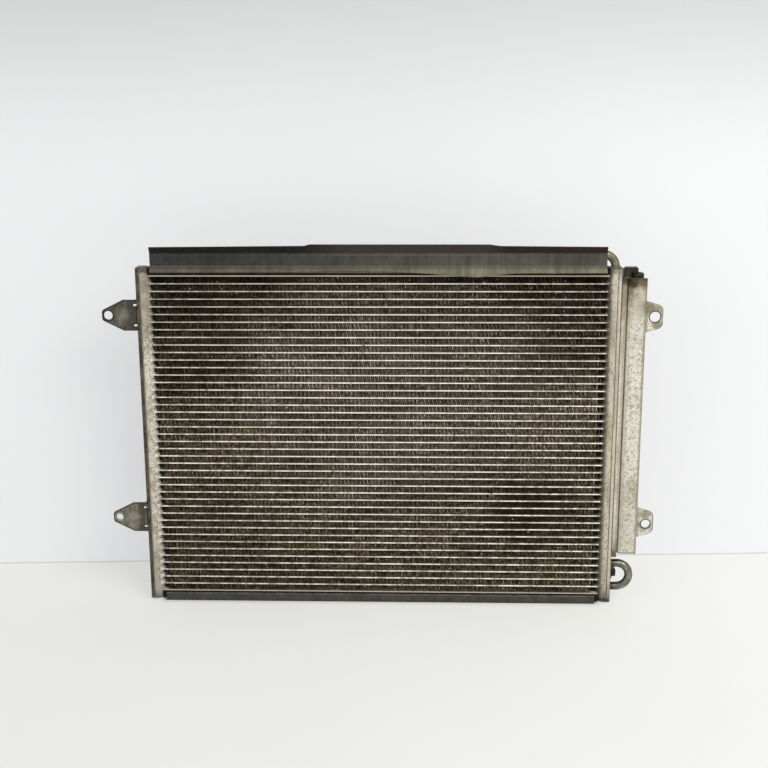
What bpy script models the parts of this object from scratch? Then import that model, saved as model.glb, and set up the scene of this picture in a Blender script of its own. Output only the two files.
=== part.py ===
"""Air conditioning condenser: a brazed flat-tube core between two upright headers, with a receiver.

The front faces -Y, +Z is up and +X is the viewer's right. Sizes below are measured from the core:
x from its middle, y back from the front of its tubes, z up from the middle of the bottom side plate.
The empty at the end of the size list moves all of it to the bottom centre of its own box.
"""

import math

import bmesh
import bpy
from mathutils import Matrix, Vector

MM = 0.001

# Clearance that brazed, clipped and plugged faces keep from each other
GAP = 0.3 * MM

# Core: flat tubes with a row of folded fins between each two
TUBE_COUNT = 42
TUBE_PITCH = 9.5 * MM
TUBE_THICKNESS = 1.8 * MM
TUBE_DEPTH = 16.0 * MM
TUBE_NOSE = 0.5 * MM
TUBE_WALL = 0.45 * MM
FIN_RECESS = 0.8 * MM
FIN_BRAZE = 0.2 * MM
FIN_STOP = 4.3 * MM

# Headers: a slotted half-round plate on the core side, closed by an extruded tank
HEADER_SPAN = 554.6 * MM
HEADER_MARGIN = 2.0 * MM
HEADER_WALL = 1.6 * MM
HEADER_OVERHANG = 10.6 * MM
HEADER_FACETS = 6
PLATE_LEG = 2.5 * MM
TANK_SHOULDER = 4.3 * MM
TANK_CHAMFER = 1.4 * MM
TANK_LEG_REACH = 3.0 * MM
TUBE_SETBACK = 1.0 * MM
CAP_FLANGE = 1.5 * MM
CAP_SPIGOT = 4.0 * MM
CAP_CHAMFER = 0.7 * MM
BAFFLE_THICKNESS = 1.2 * MM
UPPER_PASS_ROW = 21
SUBCOOLING_ROW = 10
LAST_PASS_ROW = 2

# Side plates: channels that close the core at the top and the bottom
SIDE_SHEET = 1.2 * MM
SIDE_TONGUE_DEPTH = 10.0 * MM
SIDE_END_GAP = 0.5 * MM

# Pipes
PIPE_RADIUS = 5.1 * MM
PIPE_WALL = 1.1 * MM
PIPE_BEND = 15.0 * MM
PIPE_SIDES = 12
BEND_STEPS = 7
INLET_PIPE_INSET = 0.65 * MM
INLET_INSERTION = 7.0 * MM
INLET_RUN = 33.0 * MM
INLET_SOCKET = 8.0 * MM
CROSSOVER_SPACING = 31.2 * MM
CROSSOVER_RUN = 8.8 * MM
CROSSOVER_INSERTION = 2.9 * MM

# Connector blocks
INLET_BLOCK_LENGTH = 30.0 * MM
INLET_BLOCK_HEIGHT = 14.0 * MM
INLET_BLOCK_FORWARD = 7.0 * MM
INLET_BLOCK_BACKWARD = 12.0 * MM
INLET_PORT_RADIUS = 4.2 * MM
INLET_PORT_INSET = 12.0 * MM
BLOCK_BOLT_RADIUS = 3.1 * MM
BLOCK_BOLT_INSET = 6.5 * MM
OUTLET_BLOCK_WIDTH = 15.0 * MM
OUTLET_BLOCK_HEIGHT = 38.0 * MM
OUTLET_BLOCK_DEPTH = 12.0 * MM
OUTLET_PORT_RADIUS = 3.6 * MM
OUTLET_FEED_RADIUS = 2.2 * MM
OUTLET_BOLT_RISE = 19.0 * MM

# Receiver behind the right bracket
BOTTLE_RADIUS = 12.0 * MM
BOTTLE_WALL = 1.5 * MM
BOTTLE_CLEARANCE = 1.5 * MM
BOTTLE_RISE = 6.6 * MM
BOTTLE_NECK_DEPTH = 16.0 * MM
BOTTLE_NECK_WALL = 3.3 * MM
BOTTLE_FLOOR = 3.0 * MM
BOTTLE_SHOULDER = 2.0 * MM
PLUG_HEAD_RADIUS = 9.2 * MM
PLUG_HEAD_HEIGHT = 6.7 * MM
PLUG_STAND = 2.6 * MM
PLUG_EDGE = 1.8 * MM
PLUG_LENGTH = 14.0 * MM
PLUG_GROOVE = 1.2 * MM
PLUG_GROOVE_RISE = 5.0 * MM
PLUG_SOCKET_RADIUS = 4.0 * MM
PLUG_SOCKET_DEPTH = 5.0 * MM
PLUG_SPIGOT_RADIUS = 4.0 * MM
PLUG_SPIGOT_LENGTH = 4.0 * MM
FILTER_RADIUS = 6.6 * MM
FILTER_LENGTH = 26.0 * MM
FILTER_WALL = 1.0 * MM
BAG_LENGTH = 210.0 * MM
BAG_CLEARANCE = 0.6 * MM
BAG_END = 4.0 * MM
TURNED_SIDES = 24
PORT_RADIUS = 2.3 * MM
PORT_ROWS_APART = 4
PORT_SIDES = 12
PORT_BLOCK_DEPTH = 8.0 * MM
PORT_BLOCK_HEIGHT = 13.0 * MM

# Rail and bracket that carry the right side
RAIL_RISE = 6.0 * MM
RAIL_DROP = 10.7 * MM
RAIL_SETBACK = 1.0 * MM
RAIL_DEPTH = 9.5 * MM
RAIL_WIDTH = 5.7 * MM
RAIL_SHEET = 1.5 * MM
BRACKET_STAND = 1.9 * MM
BRACKET_WIDTH = 22.2 * MM
BRACKET_RISE = 4.9 * MM
BRACKET_DROP = 2.2 * MM
BRACKET_SHEET = 2.5 * MM
BRACKET_FOLD = 6.0 * MM
RIGHT_EAR_REACH = 20.2 * MM
RIGHT_EAR_ROOT = 19.3 * MM
RIGHT_EAR_TIP = 15.2 * MM
RIGHT_EAR_CORNER = 7.0 * MM
RIGHT_UPPER_EAR_DROP = 49.2 * MM
RIGHT_LOWER_EAR_RISE = 41.9 * MM
RIGHT_LOWER_HOLE_DROP = 1.8 * MM
RIGHT_HOLE_OUT = 10.8 * MM
RIGHT_UPPER_HOLE_RADIUS = 6.5 * MM
RIGHT_LOWER_HOLE_RADIUS = 5.6 * MM
HOLE_SIDES = 20
CLIP_INSET = 4.1 * MM
CLIP_WIDTH = 15.2 * MM
CLIP_DEPTH = 12.0 * MM
CLIP_HEIGHT = 7.0 * MM
CLIP_EDGE = 0.8 * MM
LUG_LENGTH = 6.6 * MM
LUG_HEIGHT = 9.8 * MM
LUG_DROP = 1.2 * MM
LUG_TAIL = 3.4 * MM
LUG_TAIL_WIDTH = 1.6 * MM
LUG_DEPTH = 8.0 * MM
LUG_CORNER = 1.2 * MM

# Ears on the left tank
LEFT_EAR_REACH = 43.6 * MM
LEFT_EAR_SHOULDER = 17.3 * MM
LEFT_EAR_ROOT = 19.2 * MM
LEFT_EAR_TIP = 6.1 * MM
LEFT_EAR_SETBACK = 4.0 * MM
LEFT_EAR_SHEET = 2.5 * MM
LEFT_EAR_CORNER = 1.5 * MM
LEFT_FOOT_DEPTH = 13.0 * MM
LEFT_HOLE_INSET = 7.8 * MM
LEFT_UPPER_EAR_DROP = 48.7 * MM
LEFT_LOWER_EAR_Z = 98.8 * MM
LEFT_UPPER_HOLE_RADIUS = 5.5 * MM
LEFT_LOWER_HOLE_RADIUS = 4.4 * MM
WINDOW_WIDTH = 4.8 * MM
WINDOW_HEIGHT = 2.8 * MM
WINDOW_RISE = 12.6 * MM

# Air guides clipped to the side plates' front flanges
GUIDE_END_GAP = 1.9 * MM
GUIDE_WALL = 2.2 * MM
GUIDE_WALL_RISE = 18.4 * MM
GUIDE_LIP_FORWARD = 3.6 * MM
GUIDE_LIP_RISE = 5.4 * MM
GUIDE_SKIRT_FORWARD = 6.5 * MM
GUIDE_SKIRT_DROP = 9.0 * MM
GUIDE_SKIRT_CREASE = 0.42
GUIDE_CLIP_LEG = 6.5 * MM
GUIDE_CLIP_WALL = 1.8 * MM
GUIDE_RIB = 1.2 * MM
GUIDE_STATION = 22.0 * MM
CROWN_RISE = 3.4 * MM
GUIDE_BOW = 1.6 * MM
CROWN_LEFT = -87.2 * MM
CROWN_RIGHT = 148.7 * MM
CROWN_LEFT_RAMP = 6.0 * MM
CROWN_RIGHT_RAMP = 14.5 * MM
SAG_X = 116.0 * MM
SAG_DROP = 3.4 * MM
SAG_WIDTH = 34.0 * MM
LIFT_X = -33.0 * MM
LIFT_RISE = 1.6 * MM
LIFT_WIDTH = 60.0 * MM
LOWER_GUIDE_END_GAP = 2.8 * MM
LOWER_GUIDE_HEIGHT = 10.5 * MM
LOWER_GUIDE_FLOOR = 1.8 * MM

# Places worked out from the sizes above: the core and the headers
CORE_MIDDLE_Y = TUBE_DEPTH / 2
TOP_ROW_Z = TUBE_PITCH * (TUBE_COUNT + 1)
HEADER_RADIUS = CORE_MIDDLE_Y + HEADER_MARGIN
HEADER_INNER_X = HEADER_SPAN / 2
HEADER_AXIS_X = HEADER_INNER_X + HEADER_RADIUS
SEAM_X = HEADER_AXIS_X + PLATE_LEG
TANK_OUTER_X = SEAM_X + GAP + TANK_SHOULDER
TANK_LEG_X = SEAM_X + GAP - TANK_LEG_REACH
CHAMBER_OUTER_X = TANK_OUTER_X - HEADER_WALL
HEADER_FRONT_Y = CORE_MIDDLE_Y - HEADER_RADIUS
HEADER_BACK_Y = CORE_MIDDLE_Y + HEADER_RADIUS
INNER_RADIUS = HEADER_RADIUS - HEADER_WALL
TANK_LEG_OUTSIDE = INNER_RADIUS - GAP
TANK_LEG_INSIDE = TANK_LEG_OUTSIDE - HEADER_WALL
HEADER_BOTTOM_Z = -HEADER_OVERHANG
HEADER_TOP_Z = TOP_ROW_Z + HEADER_OVERHANG
TUBE_END_X = HEADER_AXIS_X - TUBE_SETBACK
FIN_END_X = HEADER_INNER_X - FIN_STOP

# What is brazed to the headers
BRAZED_X = TANK_OUTER_X + GAP
INLET_PIPE_X = HEADER_AXIS_X - INLET_PIPE_INSET
INLET_BLOCK_FRONT = CORE_MIDDLE_Y - INLET_BLOCK_FORWARD
INLET_BLOCK_BACK = CORE_MIDDLE_Y + INLET_BLOCK_BACKWARD
CROSSOVER_MIDDLE_Z = TUBE_PITCH * (LAST_PASS_ROW + 0.5)
CROSSOVER_BEND = CROSSOVER_SPACING / 2
CROSSOVER_UPPER_Z = CROSSOVER_MIDDLE_Z + CROSSOVER_BEND
CROSSOVER_LOWER_Z = CROSSOVER_MIDDLE_Z - CROSSOVER_BEND
OUTLET_BLOCK_FRONT_Y = TUBE_DEPTH + GAP
OUTLET_BLOCK_BACK_Y = HEADER_BACK_Y + GAP + OUTLET_BLOCK_DEPTH
OUTLET_FEED_Z = TUBE_PITCH / 2
LUG_BOTTOM = CROSSOVER_MIDDLE_Z - LUG_DROP
LUG_TOP = LUG_BOTTOM + LUG_HEIGHT
EAR_REACH_X = BRAZED_X + LEFT_EAR_REACH
LEFT_EAR_FRONT = HEADER_FRONT_Y + LEFT_EAR_SETBACK
LEFT_UPPER_EAR_Z = TOP_ROW_Z - LEFT_UPPER_EAR_DROP

# Rail, bracket and receiver
RAIL_RIGHT_X = BRAZED_X + RAIL_WIDTH
RAIL_FRONT = HEADER_FRONT_Y + RAIL_SETBACK
RAIL_BACK = RAIL_FRONT + RAIL_DEPTH
RAIL_BOTTOM = CROSSOVER_UPPER_Z + PIPE_RADIUS + RAIL_RISE
RAIL_TOP = HEADER_TOP_Z - RAIL_DROP
BRACKET_LEFT = RAIL_RIGHT_X + BRACKET_STAND
BRACKET_RIGHT = BRACKET_LEFT + BRACKET_WIDTH
BRACKET_BOTTOM = RAIL_BOTTOM + BRACKET_RISE
BRACKET_TOP = RAIL_TOP - BRACKET_DROP
BRACKET_REACH = BRACKET_RIGHT + RIGHT_EAR_REACH
RIGHT_HOLE_X = BRACKET_RIGHT + RIGHT_HOLE_OUT
RIGHT_UPPER_EAR_Z = TOP_ROW_Z - RIGHT_UPPER_EAR_DROP
RIGHT_LOWER_EAR_Z = BRACKET_BOTTOM + RIGHT_LOWER_EAR_RISE
BOTTLE_X = BRACKET_LEFT + BRACKET_WIDTH / 2
BOTTLE_Y = RAIL_FRONT + BRACKET_SHEET + BOTTLE_CLEARANCE + BOTTLE_RADIUS
BOTTLE_BOTTOM = BRACKET_BOTTOM + BOTTLE_RISE
PLUG_TOP = RAIL_TOP + PLUG_STAND
BOTTLE_TOP = PLUG_TOP - PLUG_HEAD_HEIGHT - GAP
PORT_Y = CORE_MIDDLE_Y + TANK_LEG_INSIDE - PORT_RADIUS - GAP
RECEIVER_INLET_Z = TUBE_PITCH * (SUBCOOLING_ROW + 0.5 + PORT_ROWS_APART / 2)
RECEIVER_OUTLET_Z = TUBE_PITCH * (SUBCOOLING_ROW + 0.5 - PORT_ROWS_APART / 2)
CLIP_LEFT = BRAZED_X + CLIP_INSET
CLIP_RIGHT = CLIP_LEFT + CLIP_WIDTH

# Air guides
GUIDE_HALF = HEADER_INNER_X - GUIDE_END_GAP
LOWER_GUIDE_HALF = HEADER_INNER_X - LOWER_GUIDE_END_GAP
GUIDE_SHELF_Z = HEADER_TOP_Z + GAP
GUIDE_FRONT_Y = -GAP - GUIDE_WALL
GUIDE_SKIRT_FRONT_Y = GUIDE_FRONT_Y - GUIDE_SKIRT_FORWARD
LOWER_GUIDE_BOTTOM_Z = HEADER_BOTTOM_Z - GAP - LOWER_GUIDE_FLOOR
ALONG_X = Vector((1.0, 0.0, 0.0))
ALONG_Y = Vector((0.0, 1.0, 0.0))
ALONG_Z = Vector((0.0, 0.0, 1.0))

# Colour, roughness and metallic value of each finish
BARE_ALUMINIUM = ((0.55, 0.50, 0.41), 0.55, 0.6)
OXIDISED_ALUMINIUM = ((0.42, 0.38, 0.30), 0.65, 0.5)
DARK_ALUMINIUM = ((0.16, 0.14, 0.11), 0.6, 0.4)
CORE_ALUMINIUM = ((0.16, 0.14, 0.12), 0.6, 0.4)
BLACK_PLASTIC = ((0.03, 0.03, 0.03), 0.6, 0.0)
GREY_RUBBER = ((0.06, 0.057, 0.048), 0.75, 0.0)
WHITE_NYLON = ((0.75, 0.74, 0.70), 0.6, 0.0)
BAG_FELT = ((0.70, 0.66, 0.58), 0.9, 0.0)


def clear_scene():
    """Remove what the scene starts with."""
    for item in list(bpy.data.objects):
        bpy.data.objects.remove(item, do_unlink=True)


def make_frame():
    """An empty that carries every piece and puts the part's bottom centre at the world's origin."""
    frame = bpy.data.objects.new("condenser_frame", None)
    bpy.context.scene.collection.objects.link(frame)
    middle_x = (BRACKET_REACH - EAR_REACH_X) / 2
    middle_y = (OUTLET_BLOCK_BACK_Y + GUIDE_SKIRT_FRONT_Y) / 2
    frame.location = (-middle_x, -middle_y, -LOWER_GUIDE_BOTTOM_Z)
    return frame


def make_material(name, finish):
    """A Principled material with one finish's colour, roughness and metallic value."""
    colour, roughness, metallic = finish
    material = bpy.data.materials.new(name)
    material.use_nodes = True
    shader = material.node_tree.nodes["Principled BSDF"]
    shader.inputs["Base Color"].default_value = (*colour, 1.0)
    shader.inputs["Roughness"].default_value = roughness
    shader.inputs["Metallic"].default_value = metallic
    return material


def make_part(name, bm, finish=None, smooth=False):
    """Turn a bmesh into a named object on the frame. Without a finish it is a hidden tool."""
    bmesh.ops.recalc_face_normals(bm, faces=bm.faces)
    mesh = bpy.data.meshes.new(name)
    bm.to_mesh(mesh)
    bm.free()
    part = bpy.data.objects.new(name, mesh)
    bpy.context.scene.collection.objects.link(part)
    part.parent = FRAME
    if finish is None:
        part.hide_render = True
        part.display_type = "WIRE"
    else:
        mesh.materials.append(make_material(name, finish))
    if smooth:
        mesh.shade_smooth()
        mesh.set_sharp_from_angle(angle=math.radians(35))
    return part


def combine(part, tool, operation):
    """Cut a tool out of a part, or join it to the part."""
    modifier = part.modifiers.new(tool.name, "BOOLEAN")
    modifier.operation = operation
    modifier.solver = "EXACT"
    modifier.object = tool


def add_box(bm, low, high):
    """Add an upright box between two corners."""
    low = Vector(low)
    high = Vector(high)
    size = high - low
    place = Matrix.Translation((low + high) / 2) @ Matrix.Diagonal((*size, 1.0))
    bmesh.ops.create_cube(bm, size=1.0, matrix=place)


def add_rod(bm, middle, direction, radius, length, sides):
    """Add a round rod around its middle point."""
    turn = direction.to_track_quat("Z", "Y").to_matrix().to_4x4()
    place = Matrix.Translation(middle) @ turn
    bmesh.ops.create_cone(
        bm, cap_ends=True, segments=sides, radius1=radius, radius2=radius, depth=length, matrix=place
    )


def add_prism(bm, outline, axis, start, end):
    """Extrude a closed outline along x, y or z. Its points name the two other coordinates in order."""
    def place(a, b, along):
        return {"x": (along, a, b), "y": (a, along, b), "z": (a, b, along)}[axis]

    corners = [bm.verts.new(place(a, b, start)) for a, b in outline]
    face = bm.faces.new(corners)
    grown = bmesh.ops.extrude_face_region(bm, geom=[face])
    moved = [item for item in grown["geom"] if isinstance(item, bmesh.types.BMVert)]
    bmesh.ops.translate(bm, verts=moved, vec=place(0.0, 0.0, end - start))


def box_part(name, low, high, finish=None):
    """One box as a part."""
    bm = bmesh.new()
    add_box(bm, low, high)
    return make_part(name, bm, finish)


def rod_part(name, middle, direction, radius, length, sides, finish=None):
    """One rod as a part."""
    bm = bmesh.new()
    add_rod(bm, middle, direction, radius, length, sides)
    return make_part(name, bm, finish)


def prism_part(name, outline, axis, start, end, finish=None):
    """One extruded outline as a part."""
    bm = bmesh.new()
    add_prism(bm, outline, axis, start, end)
    return make_part(name, bm, finish)


def turned_part(name, profile, closed, finish=None):
    """Spin a profile of (radius, height) points about the receiver's upright axis."""
    bm = bmesh.new()
    points = [bm.verts.new((radius, 0.0, height)) for radius, height in profile]
    edges = [bm.edges.new(pair) for pair in zip(points, points[1:])]
    if closed:
        edges.append(bm.edges.new((points[-1], points[0])))
    bmesh.ops.spin(
        bm,
        geom=points + edges,
        cent=(0.0, 0.0, 0.0),
        axis=(0.0, 0.0, 1.0),
        angle=2.0 * math.pi,
        steps=TURNED_SIDES,
        use_merge=True,
    )
    bmesh.ops.remove_doubles(bm, verts=bm.verts, dist=1e-6)
    bmesh.ops.translate(bm, verts=bm.verts, vec=(BOTTLE_X, BOTTLE_Y, 0.0))
    return make_part(name, bm, finish, smooth=True)


def arc_points(middle, radius, first, last, steps):
    """Points along an arc in a plane, with angles in degrees."""
    angles = [math.radians(first + (last - first) * step / steps) for step in range(steps + 1)]
    return [(middle[0] + radius * math.cos(a), middle[1] + radius * math.sin(a)) for a in angles]


def tube_outline():
    """The flat tube's section in (y, z), with its noses chamfered."""
    half = TUBE_THICKNESS / 2
    shy = half - TUBE_NOSE
    return [
        (TUBE_NOSE, -half),
        (TUBE_DEPTH - TUBE_NOSE, -half),
        (TUBE_DEPTH, -shy),
        (TUBE_DEPTH, shy),
        (TUBE_DEPTH - TUBE_NOSE, half),
        (TUBE_NOSE, half),
        (0.0, shy),
        (0.0, -shy),
    ]


def build_core():
    """The flat tubes and the fin rows brazed between them, as the one piece they become."""
    tubes = bmesh.new()
    ways = bmesh.new()
    for row in range(1, TUBE_COUNT + 1):
        height = row * TUBE_PITCH
        outline = [(y, z + height) for y, z in tube_outline()]
        add_prism(tubes, outline, "x", -TUBE_END_X, TUBE_END_X)
        half_way = TUBE_THICKNESS / 2 - TUBE_WALL
        shore = TUBE_NOSE + TUBE_WALL
        add_box(
            ways,
            (-2 * TUBE_END_X, shore, height - half_way),
            (2 * TUBE_END_X, TUBE_DEPTH - shore, height + half_way),
        )
    core = make_part("tube_and_fin_core", tubes, CORE_ALUMINIUM)

    fins = bmesh.new()
    for row in range(TUBE_COUNT + 1):
        bottom = row * TUBE_PITCH + TUBE_THICKNESS / 2 - FIN_BRAZE
        top = (row + 1) * TUBE_PITCH - TUBE_THICKNESS / 2 + FIN_BRAZE
        if row == 0:
            bottom = SIDE_SHEET / 2 + GAP
        if row == TUBE_COUNT:
            top = TOP_ROW_Z - SIDE_SHEET / 2 - GAP
        add_box(fins, (-FIN_END_X, FIN_RECESS, bottom), (FIN_END_X, TUBE_DEPTH - FIN_RECESS, top))
    combine(core, make_part("fin_rows", fins), "UNION")
    combine(core, make_part("tube_ways", ways), "DIFFERENCE")


def build_side_plate(name, middle_z, outward):
    """A channel along the core, its flanges pointing away from it and a tongue at each end."""
    half_sheet = SIDE_SHEET / 2
    web_end = HEADER_INNER_X - SIDE_END_GAP
    flange_rise = math.sqrt(HEADER_RADIUS**2 - (CORE_MIDDLE_Y - SIDE_SHEET) ** 2)
    flange_end = HEADER_AXIS_X - flange_rise - SIDE_END_GAP
    inner_z = middle_z - outward * half_sheet
    outer_z = middle_z + outward * half_sheet
    edge_z = middle_z + outward * HEADER_OVERHANG
    plate = box_part(
        name,
        (-web_end, 0.0, min(inner_z, outer_z)),
        (web_end, TUBE_DEPTH, max(inner_z, outer_z)),
        OXIDISED_ALUMINIUM,
    )
    flanges = bmesh.new()
    for front in (0.0, TUBE_DEPTH - SIDE_SHEET):
        add_box(
            flanges,
            (-flange_end, front, min(inner_z, edge_z)),
            (flange_end, front + SIDE_SHEET, max(inner_z, edge_z)),
        )
    combine(plate, make_part(name + "_flanges", flanges), "UNION")
    tongue = box_part(
        name + "_tongue",
        (-TUBE_END_X, CORE_MIDDLE_Y - SIDE_TONGUE_DEPTH / 2, middle_z - half_sheet),
        (TUBE_END_X, CORE_MIDDLE_Y + SIDE_TONGUE_DEPTH / 2, middle_z + half_sheet),
    )
    combine(plate, tongue, "UNION")


def build_header_plate(side_name, side):
    """The half-round plate of a header, with a slot for each tube and side plate tongue."""
    middle = (HEADER_AXIS_X, CORE_MIDDLE_Y)
    outline = [(SEAM_X, HEADER_FRONT_Y)]
    outline += arc_points(middle, HEADER_RADIUS, 270, 90, HEADER_FACETS)
    outline += [(SEAM_X, HEADER_BACK_Y), (SEAM_X, HEADER_BACK_Y - HEADER_WALL)]
    outline += arc_points(middle, INNER_RADIUS, 90, 270, HEADER_FACETS)
    outline += [(SEAM_X, HEADER_FRONT_Y + HEADER_WALL)]
    outline = [(side * x, y) for x, y in outline]
    bottom = HEADER_BOTTOM_Z + CAP_FLANGE + GAP
    top = HEADER_TOP_Z - CAP_FLANGE - GAP
    plate = prism_part(side_name + "_header_plate", outline, "z", bottom, top, BARE_ALUMINIUM)

    slots = bmesh.new()
    start = HEADER_INNER_X - HEADER_WALL
    for row in range(TUBE_COUNT + 2):
        is_tongue = row in (0, TUBE_COUNT + 1)
        half_height = (SIDE_SHEET if is_tongue else TUBE_THICKNESS) / 2 + GAP
        half_depth = (SIDE_TONGUE_DEPTH if is_tongue else TUBE_DEPTH) / 2 + GAP
        height = row * TUBE_PITCH
        ends = sorted((side * start, side * HEADER_AXIS_X))
        add_box(
            slots,
            (ends[0], CORE_MIDDLE_Y - half_depth, height - half_height),
            (ends[1], CORE_MIDDLE_Y + half_depth, height + half_height),
        )
    combine(plate, make_part(side_name + "_header_slots", slots), "DIFFERENCE")
    return plate


def build_tank(side_name, side):
    """The extruded tank that closes a header, its legs inside the plate's legs."""
    shoulder_x = SEAM_X + GAP
    front = [
        (TANK_LEG_X, -TANK_LEG_INSIDE),
        (TANK_LEG_X, -TANK_LEG_OUTSIDE),
        (shoulder_x, -TANK_LEG_OUTSIDE),
        (shoulder_x, -HEADER_RADIUS),
        (TANK_OUTER_X - TANK_CHAMFER, -HEADER_RADIUS),
        (TANK_OUTER_X, -HEADER_RADIUS + TANK_CHAMFER),
    ]
    back = [(x, -y) for x, y in reversed(front)]
    cavity = [(CHAMBER_OUTER_X, TANK_LEG_INSIDE), (CHAMBER_OUTER_X, -TANK_LEG_INSIDE)]
    outline = [(side * x, y + CORE_MIDDLE_Y) for x, y in front + back + cavity]
    bottom = HEADER_BOTTOM_Z + CAP_FLANGE + GAP
    top = HEADER_TOP_Z - CAP_FLANGE - GAP
    return prism_part(side_name + "_tank", outline, "z", bottom, top, OXIDISED_ALUMINIUM)


def chamber_outline(side):
    """The section of what fits inside a header, clear of its plate and tank."""
    radius = INNER_RADIUS - GAP
    step = TANK_LEG_X - GAP
    lean = math.degrees(math.asin((HEADER_AXIS_X - step) / radius))
    outline = arc_points((HEADER_AXIS_X, CORE_MIDDLE_Y), radius, 270 - lean, 90 + lean, HEADER_FACETS)
    half = TANK_LEG_INSIDE - GAP
    outer = CHAMBER_OUTER_X - GAP
    outline += [(step, CORE_MIDDLE_Y + half), (outer, CORE_MIDDLE_Y + half)]
    outline += [(outer, CORE_MIDDLE_Y - half), (step, CORE_MIDDLE_Y - half)]
    return [(side * x, y) for x, y in outline]


def build_cap(name, side, end_z, inward):
    """A cap that closes one end of a header: a flange over it and a spigot inside it."""
    outline = arc_points((HEADER_AXIS_X, CORE_MIDDLE_Y), HEADER_RADIUS, 270, 90, HEADER_FACETS)
    outline += [
        (TANK_OUTER_X - TANK_CHAMFER, HEADER_BACK_Y),
        (TANK_OUTER_X, HEADER_BACK_Y - TANK_CHAMFER),
        (TANK_OUTER_X, HEADER_FRONT_Y + TANK_CHAMFER),
        (TANK_OUTER_X - TANK_CHAMFER, HEADER_FRONT_Y),
    ]
    outline = [(side * x, y) for x, y in outline]
    bm = bmesh.new()
    add_prism(bm, outline, "z", end_z + inward * CAP_FLANGE, end_z)
    rim = [edge for edge in bm.edges if all(abs(v.co.z - end_z) < 1e-7 for v in edge.verts)]
    bmesh.ops.bevel(
        bm, geom=rim, offset=CAP_CHAMFER, segments=1, profile=0.5, affect="EDGES", material=-1
    )
    cap = make_part(name, bm, BARE_ALUMINIUM)
    spigot_start = end_z + inward * CAP_FLANGE / 2
    spigot_end = end_z + inward * (CAP_FLANGE + CAP_SPIGOT)
    spigot = prism_part(name + "_spigot", chamber_outline(side), "z", spigot_start, spigot_end)
    combine(cap, spigot, "UNION")
    return cap


def build_baffle(name, side, row):
    """A plate inside a header, half way between two tubes, that sends the flow back."""
    height = (row + 0.5) * TUBE_PITCH
    half = BAFFLE_THICKNESS / 2
    prism_part(name, chamber_outline(side), "z", height - half, height + half, OXIDISED_ALUMINIUM)


def extrude_faces(bm, faces, offset):
    """Extrude faces by an offset and return the faces at the far end."""
    grown = bmesh.ops.extrude_face_region(bm, geom=faces)["geom"]
    moved = [item for item in grown if isinstance(item, bmesh.types.BMVert)]
    bmesh.ops.translate(bm, verts=moved, vec=offset)
    return [item for item in grown if isinstance(item, bmesh.types.BMFace)]


def bent_pipe(name, start, first_run, pivot, angle, last_run, finish):
    """A round pipe that runs straight, bends about an axis along y, and runs straight again."""
    bm = bmesh.new()
    for radius in (PIPE_RADIUS, PIPE_RADIUS - PIPE_WALL):
        bmesh.ops.create_circle(bm, segments=PIPE_SIDES, radius=radius)
    bmesh.ops.bridge_loops(bm, edges=bm.edges)
    turn = first_run.to_track_quat("Z", "Y").to_matrix().to_4x4()
    bmesh.ops.transform(bm, matrix=Matrix.Translation(start) @ turn, verts=bm.verts)
    bend_start = extrude_faces(bm, bm.faces[:], first_run)
    spun = bmesh.ops.spin(
        bm, geom=bend_start, cent=pivot, axis=ALONG_Y, angle=angle, steps=BEND_STEPS, use_merge=False
    )
    bend_end = [item for item in spun["geom_last"] if isinstance(item, bmesh.types.BMFace)]
    extrude_faces(bm, bend_end, last_run)
    inside = [face for face in bend_start + bend_end if face.is_valid]
    bmesh.ops.delete(bm, geom=inside, context="FACES_ONLY")
    return make_part(name, bm, finish, smooth=True)


def build_inlet():
    """The pipe that rises from the right header, bends left behind the guide, and its block."""
    pipe_z = HEADER_TOP_Z + PIPE_BEND
    start = Vector((INLET_PIPE_X, CORE_MIDDLE_Y, HEADER_TOP_Z - INLET_INSERTION))
    pivot = Vector((INLET_PIPE_X - PIPE_BEND, CORE_MIDDLE_Y, HEADER_TOP_Z))
    bent_pipe(
        "inlet_pipe",
        start,
        ALONG_Z * INLET_INSERTION,
        pivot,
        -math.pi / 2,
        -ALONG_X * INLET_RUN,
        OXIDISED_ALUMINIUM,
    )
    pipe_end_x = INLET_PIPE_X - PIPE_BEND - INLET_RUN
    block_right = pipe_end_x + INLET_SOCKET
    block_left = block_right - INLET_BLOCK_LENGTH
    half = INLET_BLOCK_HEIGHT / 2
    block = box_part(
        "inlet_block",
        (block_left, INLET_BLOCK_FRONT, pipe_z - half),
        (block_right, INLET_BLOCK_BACK, pipe_z + half),
        BARE_ALUMINIUM,
    )
    port_x = block_right - INLET_PORT_INSET
    socket = rod_part(
        "inlet_block_socket",
        Vector((block_right, CORE_MIDDLE_Y, pipe_z)),
        ALONG_X,
        PIPE_RADIUS + GAP,
        2 * (INLET_SOCKET + GAP),
        PIPE_SIDES,
    )
    combine(block, socket, "DIFFERENCE")
    way = rod_part(
        "inlet_block_way",
        Vector(((block_right + port_x) / 2, CORE_MIDDLE_Y, pipe_z)),
        ALONG_X,
        PIPE_RADIUS - PIPE_WALL,
        INLET_PORT_INSET,
        PORT_SIDES,
    )
    combine(block, way, "DIFFERENCE")
    port_start = CORE_MIDDLE_Y - INLET_PORT_RADIUS
    port = rod_part(
        "inlet_block_port",
        Vector((port_x, INLET_BLOCK_BACK, pipe_z)),
        ALONG_Y,
        INLET_PORT_RADIUS,
        2 * (INLET_BLOCK_BACK - port_start),
        PIPE_SIDES,
    )
    combine(block, port, "DIFFERENCE")
    bolt = rod_part(
        "inlet_block_bolt_hole",
        Vector((block_left + BLOCK_BOLT_INSET, CORE_MIDDLE_Y, pipe_z)),
        ALONG_Y,
        BLOCK_BOLT_RADIUS,
        2 * INLET_BLOCK_BACK,
        PORT_SIDES,
    )
    combine(block, bolt, "DIFFERENCE")


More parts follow.
